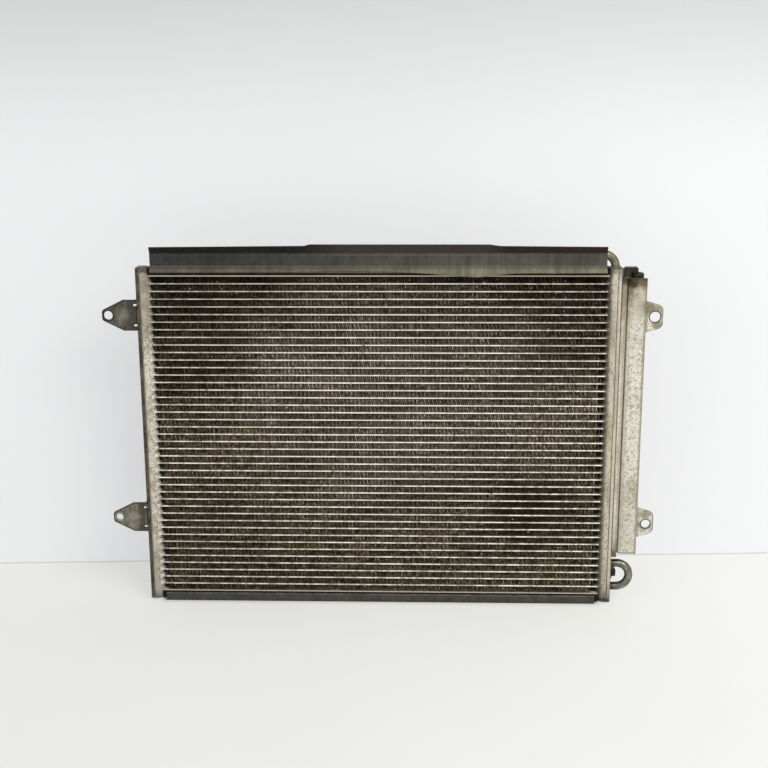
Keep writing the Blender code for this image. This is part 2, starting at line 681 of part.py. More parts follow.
def build_outlet(header_plate, tank):
    """The block brazed behind the right header, where the liquid line bolts on."""
    left = HEADER_AXIS_X - OUTLET_BLOCK_WIDTH / 2
    bottom = OUTLET_FEED_Z - OUTLET_BLOCK_WIDTH / 2
    block = box_part(
        "outlet_block",
        (left, OUTLET_BLOCK_FRONT_Y, bottom),
        (left + OUTLET_BLOCK_WIDTH, OUTLET_BLOCK_BACK_Y, bottom + OUTLET_BLOCK_HEIGHT),
        BARE_ALUMINIUM,
    )
    radius = HEADER_RADIUS + GAP
    saddle = arc_points((HEADER_AXIS_X, CORE_MIDDLE_Y), radius, 180, 90, HEADER_FACETS // 2)
    saddle += [(TANK_OUTER_X * 2, CORE_MIDDLE_Y + radius), (TANK_OUTER_X * 2, 0.0)]
    saddle += [(HEADER_AXIS_X - radius, 0.0)]
    combine(
        block,
        prism_part("outlet_block_saddle", saddle, "z", HEADER_BOTTOM_Z, HEADER_TOP_Z),
        "DIFFERENCE",
    )
    port = rod_part(
        "outlet_block_port",
        Vector((HEADER_AXIS_X, OUTLET_BLOCK_BACK_Y, OUTLET_FEED_Z)),
        ALONG_Y,
        OUTLET_PORT_RADIUS,
        2 * (OUTLET_BLOCK_DEPTH - HEADER_WALL),
        PIPE_SIDES,
    )
    combine(block, port, "DIFFERENCE")
    bolt = rod_part(
        "outlet_block_bolt_hole",
        Vector((HEADER_AXIS_X, OUTLET_BLOCK_BACK_Y, OUTLET_FEED_Z + OUTLET_BOLT_RISE)),
        ALONG_Y,
        BLOCK_BOLT_RADIUS,
        2 * (OUTLET_BLOCK_DEPTH - HEADER_WALL),
        PORT_SIDES,
    )
    combine(block, bolt, "DIFFERENCE")
    feed = rod_part(
        "outlet_feed_hole",
        Vector((HEADER_AXIS_X, HEADER_BACK_Y, OUTLET_FEED_Z)),
        ALONG_Y,
        OUTLET_FEED_RADIUS,
        2 * TANK_LEG_INSIDE,
        PORT_SIDES,
    )
    for piece in (block, header_plate, tank):
        combine(piece, feed, "DIFFERENCE")


def build_crossover(tank):
    """The U-shaped pipe that joins two chambers of the right header, and its holes in the tank."""
    run = CROSSOVER_INSERTION + CROSSOVER_RUN
    start = Vector((TANK_OUTER_X - CROSSOVER_INSERTION, CORE_MIDDLE_Y, CROSSOVER_UPPER_Z))
    pivot = start + ALONG_X * run - ALONG_Z * CROSSOVER_BEND
    bent_pipe(
        "crossover_pipe", start, ALONG_X * run, pivot, math.pi, -ALONG_X * run, DARK_ALUMINIUM
    )
    for name, height in (("upper", CROSSOVER_UPPER_Z), ("lower", CROSSOVER_LOWER_Z)):
        hole = rod_part(
            "crossover_" + name + "_hole",
            Vector((TANK_OUTER_X, CORE_MIDDLE_Y, height)),
            ALONG_X,
            PIPE_RADIUS + GAP,
            4 * HEADER_WALL,
            PIPE_SIDES,
        )
        combine(tank, hole, "DIFFERENCE")


def build_lug():
    """The small dark lug on the right tank between the crossover pipe's legs."""
    left = BRAZED_X
    right = left + LUG_LENGTH
    outline = [
        (left, LUG_TOP),
        (right - LUG_CORNER, LUG_TOP),
        (right, LUG_TOP - LUG_CORNER),
        (right, LUG_BOTTOM + LUG_CORNER),
        (right - LUG_CORNER, LUG_BOTTOM),
        (left + LUG_TAIL_WIDTH, LUG_BOTTOM),
        (left + LUG_TAIL_WIDTH, LUG_BOTTOM - LUG_TAIL),
        (left, LUG_BOTTOM - LUG_TAIL),
    ]
    half = LUG_DEPTH / 2
    prism_part("tank_lug", outline, "y", CORE_MIDDLE_Y - half, CORE_MIDDLE_Y + half, BLACK_PLASTIC)


def build_rail():
    """The thin channel brazed up the right tank, open towards the bracket."""
    left = BRAZED_X
    right = RAIL_RIGHT_X
    back = RAIL_BACK
    outline = [
        (left, RAIL_FRONT),
        (right, RAIL_FRONT),
        (right, RAIL_FRONT + RAIL_SHEET),
        (left + RAIL_SHEET, RAIL_FRONT + RAIL_SHEET),
        (left + RAIL_SHEET, back - RAIL_SHEET),
        (right, back - RAIL_SHEET),
        (right, back),
        (left, back),
    ]
    prism_part("bracket_rail", outline, "z", RAIL_BOTTOM, RAIL_TOP, OXIDISED_ALUMINIUM)


def build_bracket():
    """The flat plate at the right, folded into the rail, with an ear at each end."""
    front = RAIL_FRONT
    fold_back = front + BRACKET_FOLD
    tongue_left = BRAZED_X + RAIL_SHEET + GAP
    inner = front + BRACKET_SHEET
    section = [
        (BRACKET_LEFT, front),
        (BRACKET_RIGHT, front),
        (BRACKET_RIGHT, inner),
        (BRACKET_LEFT + BRACKET_SHEET, inner),
        (BRACKET_LEFT + BRACKET_SHEET, fold_back),
        (tongue_left, fold_back),
        (tongue_left, fold_back - BRACKET_SHEET),
        (BRACKET_LEFT, fold_back - BRACKET_SHEET),
    ]
    bracket = prism_part(
        "receiver_bracket", section, "z", BRACKET_BOTTOM, BRACKET_TOP, BARE_ALUMINIUM
    )
    ears = bmesh.new()
    holes = bmesh.new()
    tip = BRACKET_REACH - RIGHT_EAR_CORNER
    for height, hole_z, radius in (
        (RIGHT_UPPER_EAR_Z, RIGHT_UPPER_EAR_Z, RIGHT_UPPER_HOLE_RADIUS),
        (RIGHT_LOWER_EAR_Z, RIGHT_LOWER_EAR_Z - RIGHT_LOWER_HOLE_DROP, RIGHT_LOWER_HOLE_RADIUS),
    ):
        corner_z = RIGHT_EAR_TIP - RIGHT_EAR_CORNER
        outline = [(BRACKET_RIGHT - BRACKET_SHEET, height - RIGHT_EAR_ROOT)]
        outline += [(BRACKET_RIGHT, height - RIGHT_EAR_ROOT)]
        outline += arc_points((tip, height - corner_z), RIGHT_EAR_CORNER, -75, 0, 4)
        outline += arc_points((tip, height + corner_z), RIGHT_EAR_CORNER, 0, 75, 4)
        outline += [(BRACKET_RIGHT, height + RIGHT_EAR_ROOT)]
        outline += [(BRACKET_RIGHT - BRACKET_SHEET, height + RIGHT_EAR_ROOT)]
        add_prism(ears, outline, "y", front, inner)
        middle = Vector((RIGHT_HOLE_X, front, hole_z))
        add_rod(holes, middle, ALONG_Y, radius, 4 * BRACKET_SHEET, HOLE_SIDES)
    combine(bracket, make_part("receiver_bracket_ears", ears), "UNION")
    combine(bracket, make_part("receiver_bracket_holes", holes), "DIFFERENCE")


def build_receiver():
    """The bottle behind the bracket, its plug and seal, and the filter and bag inside it."""
    inner = BOTTLE_RADIUS - BOTTLE_WALL
    bore = BOTTLE_RADIUS - BOTTLE_NECK_WALL
    neck = BOTTLE_TOP - BOTTLE_NECK_DEPTH
    bottle_profile = [
        (0.0, BOTTLE_BOTTOM),
        (BOTTLE_RADIUS - BOTTLE_SHOULDER, BOTTLE_BOTTOM),
        (BOTTLE_RADIUS, BOTTLE_BOTTOM + BOTTLE_SHOULDER),
        (BOTTLE_RADIUS, BOTTLE_TOP - BOTTLE_SHOULDER),
        (BOTTLE_RADIUS - BOTTLE_SHOULDER, BOTTLE_TOP),
        (bore, BOTTLE_TOP),
        (bore, neck),
        (inner, neck - (inner - bore)),
        (inner, BOTTLE_BOTTOM + BOTTLE_FLOOR),
        (0.0, BOTTLE_BOTTOM + BOTTLE_FLOOR),
    ]
    bottle = turned_part("receiver_bottle", bottle_profile, False, OXIDISED_ALUMINIUM)

    body = bore - GAP
    head_bottom = BOTTLE_TOP + GAP
    head_top = PLUG_TOP
    plug_bottom = BOTTLE_TOP - PLUG_LENGTH
    groove = plug_bottom + PLUG_GROOVE_RISE
    plug_profile = [
        (0.0, plug_bottom - PLUG_SPIGOT_LENGTH),
        (PLUG_SPIGOT_RADIUS, plug_bottom - PLUG_SPIGOT_LENGTH),
        (PLUG_SPIGOT_RADIUS, plug_bottom),
        (body, plug_bottom),
        (body, groove - PLUG_GROOVE),
        (body - PLUG_GROOVE, groove - PLUG_GROOVE),
        (body - PLUG_GROOVE, groove + PLUG_GROOVE),
        (body, groove + PLUG_GROOVE),
        (body, head_bottom),
        (PLUG_HEAD_RADIUS, head_bottom),
        (PLUG_HEAD_RADIUS, head_top - PLUG_EDGE),
        (PLUG_HEAD_RADIUS - PLUG_EDGE / 3, head_top - PLUG_EDGE / 3),
        (PLUG_HEAD_RADIUS - PLUG_EDGE, head_top),
        (0.0, head_top),
    ]
    plug = turned_part("receiver_plug", plug_profile, False, BLACK_PLASTIC)
    socket = rod_part(
        "receiver_plug_socket",
        Vector((BOTTLE_X, BOTTLE_Y, head_top)),
        ALONG_Z,
        PLUG_SOCKET_RADIUS,
        2 * PLUG_SOCKET_DEPTH,
        6,
    )
    combine(plug, socket, "DIFFERENCE")

    ring_middle = (bore + body - PLUG_GROOVE) / 2
    ring_profile = arc_points((ring_middle, groove), PLUG_GROOVE / 2, 0, 300, 5)
    turned_part("plug_seal_ring", ring_profile, True, GREY_RUBBER)

    filter_top = plug_bottom - GAP
    filter_bottom = filter_top - FILTER_LENGTH
    filter_bore = FILTER_RADIUS - FILTER_WALL
    filter_seat = filter_top - PLUG_SPIGOT_LENGTH
    filter_profile = [
        (0.0, filter_bottom),
        (FILTER_RADIUS, filter_bottom),
        (FILTER_RADIUS, filter_top),
        (PLUG_SPIGOT_RADIUS + GAP, filter_top),
        (PLUG_SPIGOT_RADIUS + GAP, filter_seat),
        (filter_bore, filter_seat),
        (filter_bore, filter_bottom + FILTER_WALL),
        (0.0, filter_bottom + FILTER_WALL),
    ]
    turned_part("receiver_filter", filter_profile, False, WHITE_NYLON)

    bag_radius = inner - BAG_CLEARANCE
    bag_bottom = BOTTLE_BOTTOM + BOTTLE_FLOOR + GAP
    bag_top = bag_bottom + BAG_LENGTH
    bag_profile = [
        (0.0, bag_bottom),
        (bag_radius - BAG_END, bag_bottom),
        (bag_radius, bag_bottom + BAG_END),
        (bag_radius, bag_top - BAG_END),
        (bag_radius - BAG_END, bag_top),
        (0.0, bag_top),
    ]
    turned_part("desiccant_bag", bag_profile, False, BAG_FELT)
    return bottle


def build_receiver_ports(bottle, tank):
    """Two short blocks that carry the bottle on the tank and let the refrigerant through."""
    left = BRAZED_X
    right = BOTTLE_X - BOTTLE_RADIUS / 2
    front = RAIL_BACK + GAP
    middle_x = (left + right) / 2
    saddle = rod_part(
        "receiver_saddle",
        Vector((BOTTLE_X, BOTTLE_Y, (RECEIVER_INLET_Z + RECEIVER_OUTLET_Z) / 2)),
        ALONG_Z,
        BOTTLE_RADIUS + GAP,
        2 * (RECEIVER_INLET_Z - RECEIVER_OUTLET_Z),
        TURNED_SIDES,
    )
    for name, height in (("inlet", RECEIVER_INLET_Z), ("outlet", RECEIVER_OUTLET_Z)):
        half = PORT_BLOCK_HEIGHT / 2
        block = box_part(
            "receiver_" + name + "_block",
            (left, front, height - half),
            (right, front + PORT_BLOCK_DEPTH, height + half),
            OXIDISED_ALUMINIUM,
        )
        combine(block, saddle, "DIFFERENCE")
        way = rod_part(
            "receiver_" + name + "_way",
            Vector((middle_x, PORT_Y, height)),
            ALONG_X,
            PORT_RADIUS,
            2 * (right - left),
            PORT_SIDES,
        )
        for piece in (block, bottle, tank):
            combine(piece, way, "DIFFERENCE")


def build_clip():
    """The black plastic clip over the receiver's plug, with a leg on top of the rail."""
    bottom = PLUG_TOP + GAP
    top = bottom + CLIP_HEIGHT
    leg_right = BOTTLE_X - PLUG_HEAD_RADIUS - GAP
    front = BOTTLE_Y - BOTTLE_RADIUS + BOTTLE_CLEARANCE
    outline = [
        (CLIP_LEFT, RAIL_TOP + GAP),
        (leg_right, RAIL_TOP + GAP),
        (leg_right, bottom),
        (CLIP_RIGHT, bottom),
        (CLIP_RIGHT, top - CLIP_EDGE),
        (CLIP_RIGHT - CLIP_EDGE, top),
        (CLIP_LEFT + CLIP_EDGE, top),
        (CLIP_LEFT, top - CLIP_EDGE),
    ]
    prism_part("receiver_clip", outline, "y", front, front + CLIP_DEPTH, BLACK_PLASTIC)


def build_left_ear(name, height, hole_radius):
    """A folded ear on the left tank: a pointed plate, and a foot that lies against the tank."""
    root = BRAZED_X
    tip = EAR_REACH_X
    lean = math.atan2(LEFT_EAR_ROOT - LEFT_EAR_TIP, LEFT_EAR_REACH - LEFT_EAR_SHOULDER)
    half_plate = [
        (root, LEFT_EAR_ROOT),
        (root + LEFT_EAR_SHOULDER, LEFT_EAR_ROOT),
        (tip - LEFT_EAR_CORNER * math.cos(lean), LEFT_EAR_TIP + LEFT_EAR_CORNER * math.sin(lean)),
        (tip, LEFT_EAR_TIP - LEFT_EAR_CORNER),
    ]
    outline = [(-x, height + z) for x, z in half_plate]
    outline += [(-x, height - z) for x, z in reversed(half_plate)]
    back = LEFT_EAR_FRONT + LEFT_EAR_SHEET
    ear = prism_part(name, outline, "y", LEFT_EAR_FRONT, back, DARK_ALUMINIUM)
    foot = box_part(
        name + "_foot",
        (-root - LEFT_EAR_SHEET, LEFT_EAR_FRONT, height - LEFT_EAR_ROOT),
        (-root, LEFT_EAR_FRONT + LEFT_FOOT_DEPTH, height + LEFT_EAR_ROOT),
    )
    combine(ear, foot, "UNION")
    hole = rod_part(
        name + "_hole",
        Vector((-tip + LEFT_HOLE_INSET, LEFT_EAR_FRONT, height)),
        ALONG_Y,
        hole_radius,
        4 * LEFT_EAR_SHEET,
        HOLE_SIDES,
    )
    combine(ear, hole, "DIFFERENCE")
    windows = bmesh.new()
    for middle in (height + WINDOW_RISE, height - WINDOW_RISE):
        add_box(
            windows,
            (-root - WINDOW_WIDTH, LEFT_EAR_FRONT - LEFT_EAR_SHEET, middle - WINDOW_HEIGHT / 2),
            (-root + GAP, LEFT_EAR_FRONT + 2 * LEFT_FOOT_DEPTH, middle + WINDOW_HEIGHT / 2),
        )
    combine(ear, make_part(name + "_windows", windows), "DIFFERENCE")


def smooth_step(value):
    """Rise from 0 to 1 with level ends."""
    value = min(max(value, 0.0), 1.0)
    return value * value * (3.0 - 2.0 * value)


def crown_rise(x):
    """How far the top of the upper guide stands above its ends at x: a slight bow and a raised part."""
    up = smooth_step((x - CROWN_LEFT) / CROWN_LEFT_RAMP)
    down = smooth_step((CROWN_RIGHT - x) / CROWN_RIGHT_RAMP)
    bow = GUIDE_BOW * (1.0 - (x / GUIDE_HALF) ** 2)
    return bow + (CROWN_RISE - GUIDE_BOW) * up * down


def skirt_wave(x):
    """How far the skirt's worn lower edge stands above its mean line at x."""
    sag = SAG_DROP * math.exp(-((x - SAG_X) / SAG_WIDTH) ** 2)
    lift = LIFT_RISE * math.exp(-((x - LIFT_X) / LIFT_WIDTH) ** 2)
    return lift - sag


def build_upper_guide():
    """The rubbery strip along the top: a wall, a lip, a skirt over the core, and a rear clip."""
    wall_top = GUIDE_SHELF_Z + GUIDE_WALL_RISE
    lip_top = wall_top + GUIDE_LIP_RISE
    lip_front = GUIDE_FRONT_Y - GUIDE_LIP_FORWARD
    skirt_top = GUIDE_SHELF_Z + GUIDE_CLIP_WALL
    skirt_bottom = skirt_top - GUIDE_SKIRT_DROP
    crease_y = GUIDE_FRONT_Y - GUIDE_SKIRT_FORWARD * GUIDE_SKIRT_CREASE
    crease_z = skirt_top - GUIDE_SKIRT_DROP * GUIDE_SKIRT_CREASE
    clip_bottom = HEADER_TOP_Z - GUIDE_CLIP_LEG
    clip_front = SIDE_SHEET + GAP
    clip_back = clip_front + GUIDE_CLIP_WALL
    skirt_back = GUIDE_SKIRT_FRONT_Y + GUIDE_WALL
    rib_front = -GAP - GUIDE_RIB
    section = [
        (GUIDE_SKIRT_FRONT_Y, skirt_bottom),
        (crease_y, crease_z),
        (GUIDE_FRONT_Y, skirt_top),
        (GUIDE_FRONT_Y, wall_top),
        (lip_front, lip_top),
        (lip_front + GUIDE_WALL, lip_top + GUIDE_RIB),
        (-GAP, wall_top + GUIDE_RIB),
        (-GAP, skirt_top),
        (clip_back, skirt_top),
        (clip_back, clip_bottom),
        (clip_front, clip_bottom),
        (clip_front, GUIDE_SHELF_Z),
        (-GAP, GUIDE_SHELF_Z),
        (-GAP, clip_bottom),
        (rib_front, clip_bottom),
        (rib_front, GUIDE_SHELF_Z - GUIDE_RIB),
        (crease_y + GUIDE_WALL, crease_z - GUIDE_RIB),
        (skirt_back, skirt_bottom - GUIDE_RIB / 2),
    ]
    bm = bmesh.new()
    add_prism(bm, section, "x", -GUIDE_HALF, GUIDE_HALF)
    count = round(2 * GUIDE_HALF / GUIDE_STATION)
    stations = [-GUIDE_HALF + 2 * GUIDE_HALF * step / count for step in range(1, count)]
    stations += [CROWN_LEFT, CROWN_LEFT + CROWN_LEFT_RAMP]
    stations += [CROWN_RIGHT, CROWN_RIGHT - CROWN_RIGHT_RAMP]
    for station in stations:
        bmesh.ops.bisect_plane(
            bm,
            geom=bm.verts[:] + bm.edges[:] + bm.faces[:],
            plane_co=(station, 0.0, 0.0),
            plane_no=(1.0, 0.0, 0.0),
        )
    for vert in bm.verts:
        if vert.co.z > wall_top - GAP:
            vert.co.z += crown_rise(vert.co.x)
        if vert.co.y < crease_y - GAP and vert.co.z < crease_z:
            vert.co.z += skirt_wave(vert.co.x)
    make_part("upper_air_guide", bm, GREY_RUBBER)


def build_lower_guide():
    """The strip along the bottom, clipped under the lower side plate's front flange."""
    front = GUIDE_FRONT_Y
    floor_top = HEADER_BOTTOM_Z - GAP
    clip_front = SIDE_SHEET + GAP
    clip_back = clip_front + GUIDE_CLIP_WALL
    clip_top = HEADER_BOTTOM_Z + GUIDE_CLIP_LEG
    wall_top = LOWER_GUIDE_BOTTOM_Z + LOWER_GUIDE_HEIGHT
    section = [
        (front, LOWER_GUIDE_BOTTOM_Z),
        (clip_back, LOWER_GUIDE_BOTTOM_Z),
        (clip_back, clip_top),
        (clip_front, clip_top),
        (clip_front, floor_top),
        (-GAP, floor_top),
        (-GAP, wall_top),
        (front + GUIDE_RIB, wall_top),
        (front, wall_top - GUIDE_RIB),
    ]
    prism_part(
        "lower_air_guide", section, "x", -LOWER_GUIDE_HALF, LOWER_GUIDE_HALF, GREY_RUBBER
    )


def build_headers():
    """Both headers with their caps and baffles, and what is joined to the right one."""
    plates = {}
    tanks = {}
    for name, side in (("left", -1), ("right", 1)):
        plates[name] = build_header_plate(name, side)
        tanks[name] = build_tank(name, side)
        build_cap(name + "_bottom_cap", side, HEADER_BOTTOM_Z, 1)
    build_cap("left_top_cap", -1, HEADER_TOP_Z, -1)
    right_cap = build_cap("right_top_cap", 1, HEADER_TOP_Z, -1)
    pipe_hole = rod_part(
        "inlet_pipe_hole",
        Vector((INLET_PIPE_X, CORE_MIDDLE_Y, HEADER_TOP_Z)),
        ALONG_Z,
        PIPE_RADIUS + GAP,
        4 * (CAP_FLANGE + CAP_SPIGOT),
        PIPE_SIDES,
    )
    combine(right_cap, pipe_hole, "DIFFERENCE")
    build_baffle("left_baffle", -1, SUBCOOLING_ROW)
    build_baffle("right_upper_baffle", 1, UPPER_PASS_ROW)
    build_baffle("right_middle_baffle", 1, SUBCOOLING_ROW)
    build_baffle("right_lower_baffle", 1, LAST_PASS_ROW)
    return plates, tanks


clear_scene()
FRAME = make_frame()
build_core()
build_side_plate("top_side_plate", TOP_ROW_Z, 1)
build_side_plate("bottom_side_plate", 0.0, -1)
header_plates, header_tanks = build_headers()
build_inlet()
build_outlet(header_plates["right"], header_tanks["right"])
build_crossover(header_tanks["right"])
build_lug()
build_rail()
build_bracket()
build_receiver_ports(build_receiver(), header_tanks["right"])
build_clip()
build_left_ear("left_upper_ear", LEFT_UPPER_EAR_Z, LEFT_UPPER_HOLE_RADIUS)
build_left_ear("left_lower_ear", LEFT_LOWER_EAR_Z, LEFT_LOWER_HOLE_RADIUS)
build_upper_guide()
build_lower_guide()
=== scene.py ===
# %% [markdown]
# # An air conditioning condenser in the studio
# This lesson dresses a finished engineering model of a car's air conditioning condenser. The model
# gives every place and size. The lesson adds what a camera would see: rounded edges, folded fins,
# braze collars, worn metal, dusty rubber, and a plain room with soft light.

# %% Load the engineering model
import math
import random

import bmesh
import bpy
from mathutils import Matrix, Vector, noise


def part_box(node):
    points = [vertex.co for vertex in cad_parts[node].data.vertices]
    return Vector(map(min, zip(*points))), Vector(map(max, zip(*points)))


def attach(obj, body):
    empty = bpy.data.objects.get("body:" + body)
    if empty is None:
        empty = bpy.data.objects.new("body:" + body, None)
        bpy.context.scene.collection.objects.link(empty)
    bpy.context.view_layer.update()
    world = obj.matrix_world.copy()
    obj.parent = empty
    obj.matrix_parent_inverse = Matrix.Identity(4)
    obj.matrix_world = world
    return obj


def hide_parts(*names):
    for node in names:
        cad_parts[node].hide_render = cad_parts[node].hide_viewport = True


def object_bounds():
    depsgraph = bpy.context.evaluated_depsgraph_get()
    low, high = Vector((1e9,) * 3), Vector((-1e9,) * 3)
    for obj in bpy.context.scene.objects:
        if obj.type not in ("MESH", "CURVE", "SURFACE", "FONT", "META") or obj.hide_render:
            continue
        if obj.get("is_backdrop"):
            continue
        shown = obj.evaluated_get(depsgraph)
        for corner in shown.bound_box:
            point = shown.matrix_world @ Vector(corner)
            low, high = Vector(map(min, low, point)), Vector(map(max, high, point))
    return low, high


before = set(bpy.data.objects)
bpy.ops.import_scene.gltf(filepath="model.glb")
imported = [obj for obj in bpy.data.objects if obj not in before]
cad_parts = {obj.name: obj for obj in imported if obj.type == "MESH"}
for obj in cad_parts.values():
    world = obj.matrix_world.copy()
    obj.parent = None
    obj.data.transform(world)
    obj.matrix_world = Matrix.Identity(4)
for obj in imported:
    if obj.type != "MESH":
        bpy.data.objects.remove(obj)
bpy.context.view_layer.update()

print("nodes loaded:", len(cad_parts))

# %% [markdown]
# Lengths are easier to read in millimetres, while Blender works in metres, so one constant turns
# one into the other. The places that the lesson needs again and again are read from the model: the
# core's front, the height of each tube, and the axis of each header. A tube row is then a number
# times the pitch, as it is on the real core.

# %% Measure the model
MM = 0.001
core_low, core_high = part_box("tube_and_fin_core")
plate_low, plate_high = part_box("right_header_plate")
tank_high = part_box("right_tank")[1]
cap_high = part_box("right_top_cap")[1]
foot_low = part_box("right_bottom_cap")[0]

TUBE_COUNT = 42
FIN_CLEARANCE = 0.9 * MM
ROW_ZERO_Z = core_low.z - FIN_CLEARANCE
TUBE_PITCH = (core_high.z - core_low.z + 2 * FIN_CLEARANCE) / (TUBE_COUNT + 1)
TOP_ROW_Z = ROW_ZERO_Z + (TUBE_COUNT + 1) * TUBE_PITCH
MIDDLE_X = (core_low.x + core_high.x) / 2
CORE_FRONT_Y = core_low.y
CORE_DEPTH = core_high.y - core_low.y
CORE_MIDDLE_Y = CORE_FRONT_Y + CORE_DEPTH / 2
HEADER_RADIUS = (plate_high.y - plate_low.y) / 2
HEADER_INNER = plate_low.x - MIDDLE_X
HEADER_AXIS = HEADER_INNER + HEADER_RADIUS
HEADER_SEAM = plate_high.x - MIDDLE_X
TANK_OUTER = tank_high.x - MIDDLE_X
TUBE_END = core_high.x - MIDDLE_X
print("tube pitch in mm:", round(TUBE_PITCH / MM, 3))
print("header axis from the middle in mm:", round(HEADER_AXIS / MM, 2))

# %% [markdown]
# A photograph is matched by putting the camera where the photographer stood. Here the eye is a
# little right of the middle and well above the top, about one and a half metres in front, so the
# view looks down on the part. The lens is 58 mm on a 36 mm sensor.

# %% Camera
def add_object(name, data):
    """A new object in the scene."""
    item = bpy.data.objects.new(name, data)
    bpy.context.scene.collection.objects.link(item)
    return item


IMAGE_WIDTH = 768
SENSOR_WIDTH = 36.0
FOCAL_PIXELS = 1235.5
camera_data = bpy.data.cameras.new("camera")
camera_data.sensor_width = SENSOR_WIDTH
camera_data.lens = FOCAL_PIXELS / IMAGE_WIDTH * SENSOR_WIDTH
camera_data.clip_start = 0.05
camera = add_object("camera", camera_data)

CAMERA_PLACE = Vector((56.8, -1488.95, 645.9)) * MM
CAMERA_PITCH = math.radians(-13.62)
CAMERA_ROLL = math.radians(0.29)
CAMERA_YAW = math.radians(2.03)
turn = (
    Matrix.Rotation(CAMERA_YAW, 4, "Z")
    @ Matrix.Rotation(CAMERA_PITCH, 4, "X")
    @ Matrix.Rotation(CAMERA_ROLL, 4, "Y")
    @ Matrix.Rotation(math.pi / 2, 4, "X")
)
camera.matrix_world = Matrix.Translation(CAMERA_PLACE) @ turn
bpy.context.scene.camera = camera
print("camera looks along:", [round(v, 3) for v in turn.to_3x3() @ Vector((0, 0, -1))])

# %% [markdown]
# A material is a small graph. Short helpers keep it readable: they add a node and fill its sockets
# with numbers or links, blend or tint colours, do sums, and say where a point is and which way it
# faces.

# %% Helpers for shader graphs
def fill(tree, node, sockets):
    """Set a node's sockets to values, or link them."""
    for key, value in sockets.items():
        if isinstance(value, bpy.types.NodeSocket):
            tree.links.new(value, node.inputs[key])
        else:
            node.inputs[key].default_value = value


def put(tree, kind, sockets=None, **options):
    """Add a shader node with its options, and fill its sockets."""
    node = tree.nodes.new("ShaderNode" + kind)
    for option, value in options.items():
        setattr(node, option, value)
    fill(tree, node, sockets or {})
    return node


def blend_colour(tree, mask, first, second, mode="MIX"):
    """Blend two colours by a mask and return the colour socket."""
    first, second = [(*shade, 1.0) if isinstance(shade, tuple) else shade for shade in (first, second)]
    node = put(tree, "Mix", {0: mask, 6: first, 7: second}, data_type="RGBA", blend_type=mode)
    return node.outputs[2]


def tinted(tree, colour, tone):
    """A colour made darker or lighter by a tone."""
    tint = put(tree, "CombineColor", {0: tone, 1: tone, 2: tone}).outputs[0]
    return blend_colour(tree, 1.0, colour, tint, "MULTIPLY")


def arithmetic(tree, operation, first, second=0.0, clamp=False):
    """One Math node, returned as its socket."""
    return put(tree, "Math", {0: first, 1: second}, operation=operation, use_clamp=clamp).outputs[0]


def times(tree, first, second):
    """Two values multiplied."""
    return arithmetic(tree, "MULTIPLY", first, second)


def marked(tree, colour, mask, strength, shade):
    """A colour with marks of another shade on it, of a certain strength."""
    return blend_colour(tree, times(tree, mask, strength), colour, shade)


def ramp(tree, value, start, end, low=0.0, high=1.0):
    """A smooth step of a value between start and end."""
    sockets = {"Value": value, "From Min": start, "From Max": end, "To Min": low, "To Max": high}
    return put(tree, "MapRange", sockets, interpolation_type="SMOOTHSTEP").outputs[0]


def graded(tree, mask, low, high):
    """A value that goes from low to high as a mask goes from 0 to 1."""
    return ramp(tree, mask, 0.0, 1.0, low, high)


def place_on_part(tree):
    """The place on the part, in its own frame."""
    return put(tree, "TexCoord").outputs["Object"]


def place_along(tree, axis):
    """How far along one axis the place is."""
    return put(tree, "SeparateXYZ", {0: place_on_part(tree)}).outputs[axis]


def normal_along(tree, axis):
    """How much the surface faces one axis."""
    return put(tree, "SeparateXYZ", {0: put(tree, "NewGeometry").outputs["Normal"]}).outputs[axis]

# %% [markdown]
# Some effects belong to every old metal part: cloudy stains, rubbed edges, grain, and dust that
# settles on what faces up. Each is a node group, built once with named inputs, so a material only
# says how much of it there is. The groups put out masks and heights, and the shader stays outside.

# %% Start a node group
def start_group(name, inputs, *outputs):
    """Make a shader group with float or vector inputs. Return its tree and the sockets inside it."""
    tree = bpy.data.node_groups.new(name, "ShaderNodeTree")
    for label, default in inputs.items():
        kind = "NodeSocketVector" if isinstance(default, tuple) else "NodeSocketFloat"
        tree.interface.new_socket(label, in_out="INPUT", socket_type=kind).default_value = default
    for label in outputs:
        tree.interface.new_socket(label, in_out="OUTPUT", socket_type="NodeSocketFloat")
    return tree, tree.nodes.new("NodeGroupInput").outputs, tree.nodes.new("NodeGroupOutput").inputs


def mask_of(tree, group, *values):
    """A group's mask, with values for its inputs in their order."""
    return put(tree, "Group", dict(enumerate(values)), node_tree=group).outputs["Mask"]


def noise_in(tree, scale, detail, stretch=None):
    """A noise over the part, stretched if a stretch is given."""
    place = place_on_part(tree)
    if stretch:
        place = put(tree, "VectorMath", {0: place, 1: stretch}, operation="MULTIPLY").outputs[0]
    return put(tree, "TexNoise", {"Vector": place, "Scale": scale, "Detail": detail})


def ragged_shift(tree, given, detail):
    """A noise about zero, as strong as the group's Ragged input says."""
    cloud = noise_in(tree, given["Scale"], detail).outputs["Fac"]
    return times(tree, arithmetic(tree, "SUBTRACT", cloud, 0.5), times(tree, given["Ragged"], 4.0))

# %% [markdown]
# Stains come from a noise whose middle is cut into soft islands. A stretch vector makes the islands
# long, for the runs that water leaves on an upright plate.

# %% Group: stains
NO_STRETCH = (1.0, 1.0, 1.0)
STAINS, given, result = start_group(
    "stains", {"Scale": 60.0, "Level": 0.5, "Softness": 0.1, "Stretch": NO_STRETCH}, "Mask"
)
cloud = noise_in(STAINS, given["Scale"], 6.0, given["Stretch"])
cloud.inputs["Roughness"].default_value = 0.62
low = arithmetic(STAINS, "SUBTRACT", given["Level"], given["Softness"])
high = arithmetic(STAINS, "ADD", given["Level"], given["Softness"])
STAINS.links.new(ramp(STAINS, cloud.outputs["Fac"], low, high), result["Mask"])

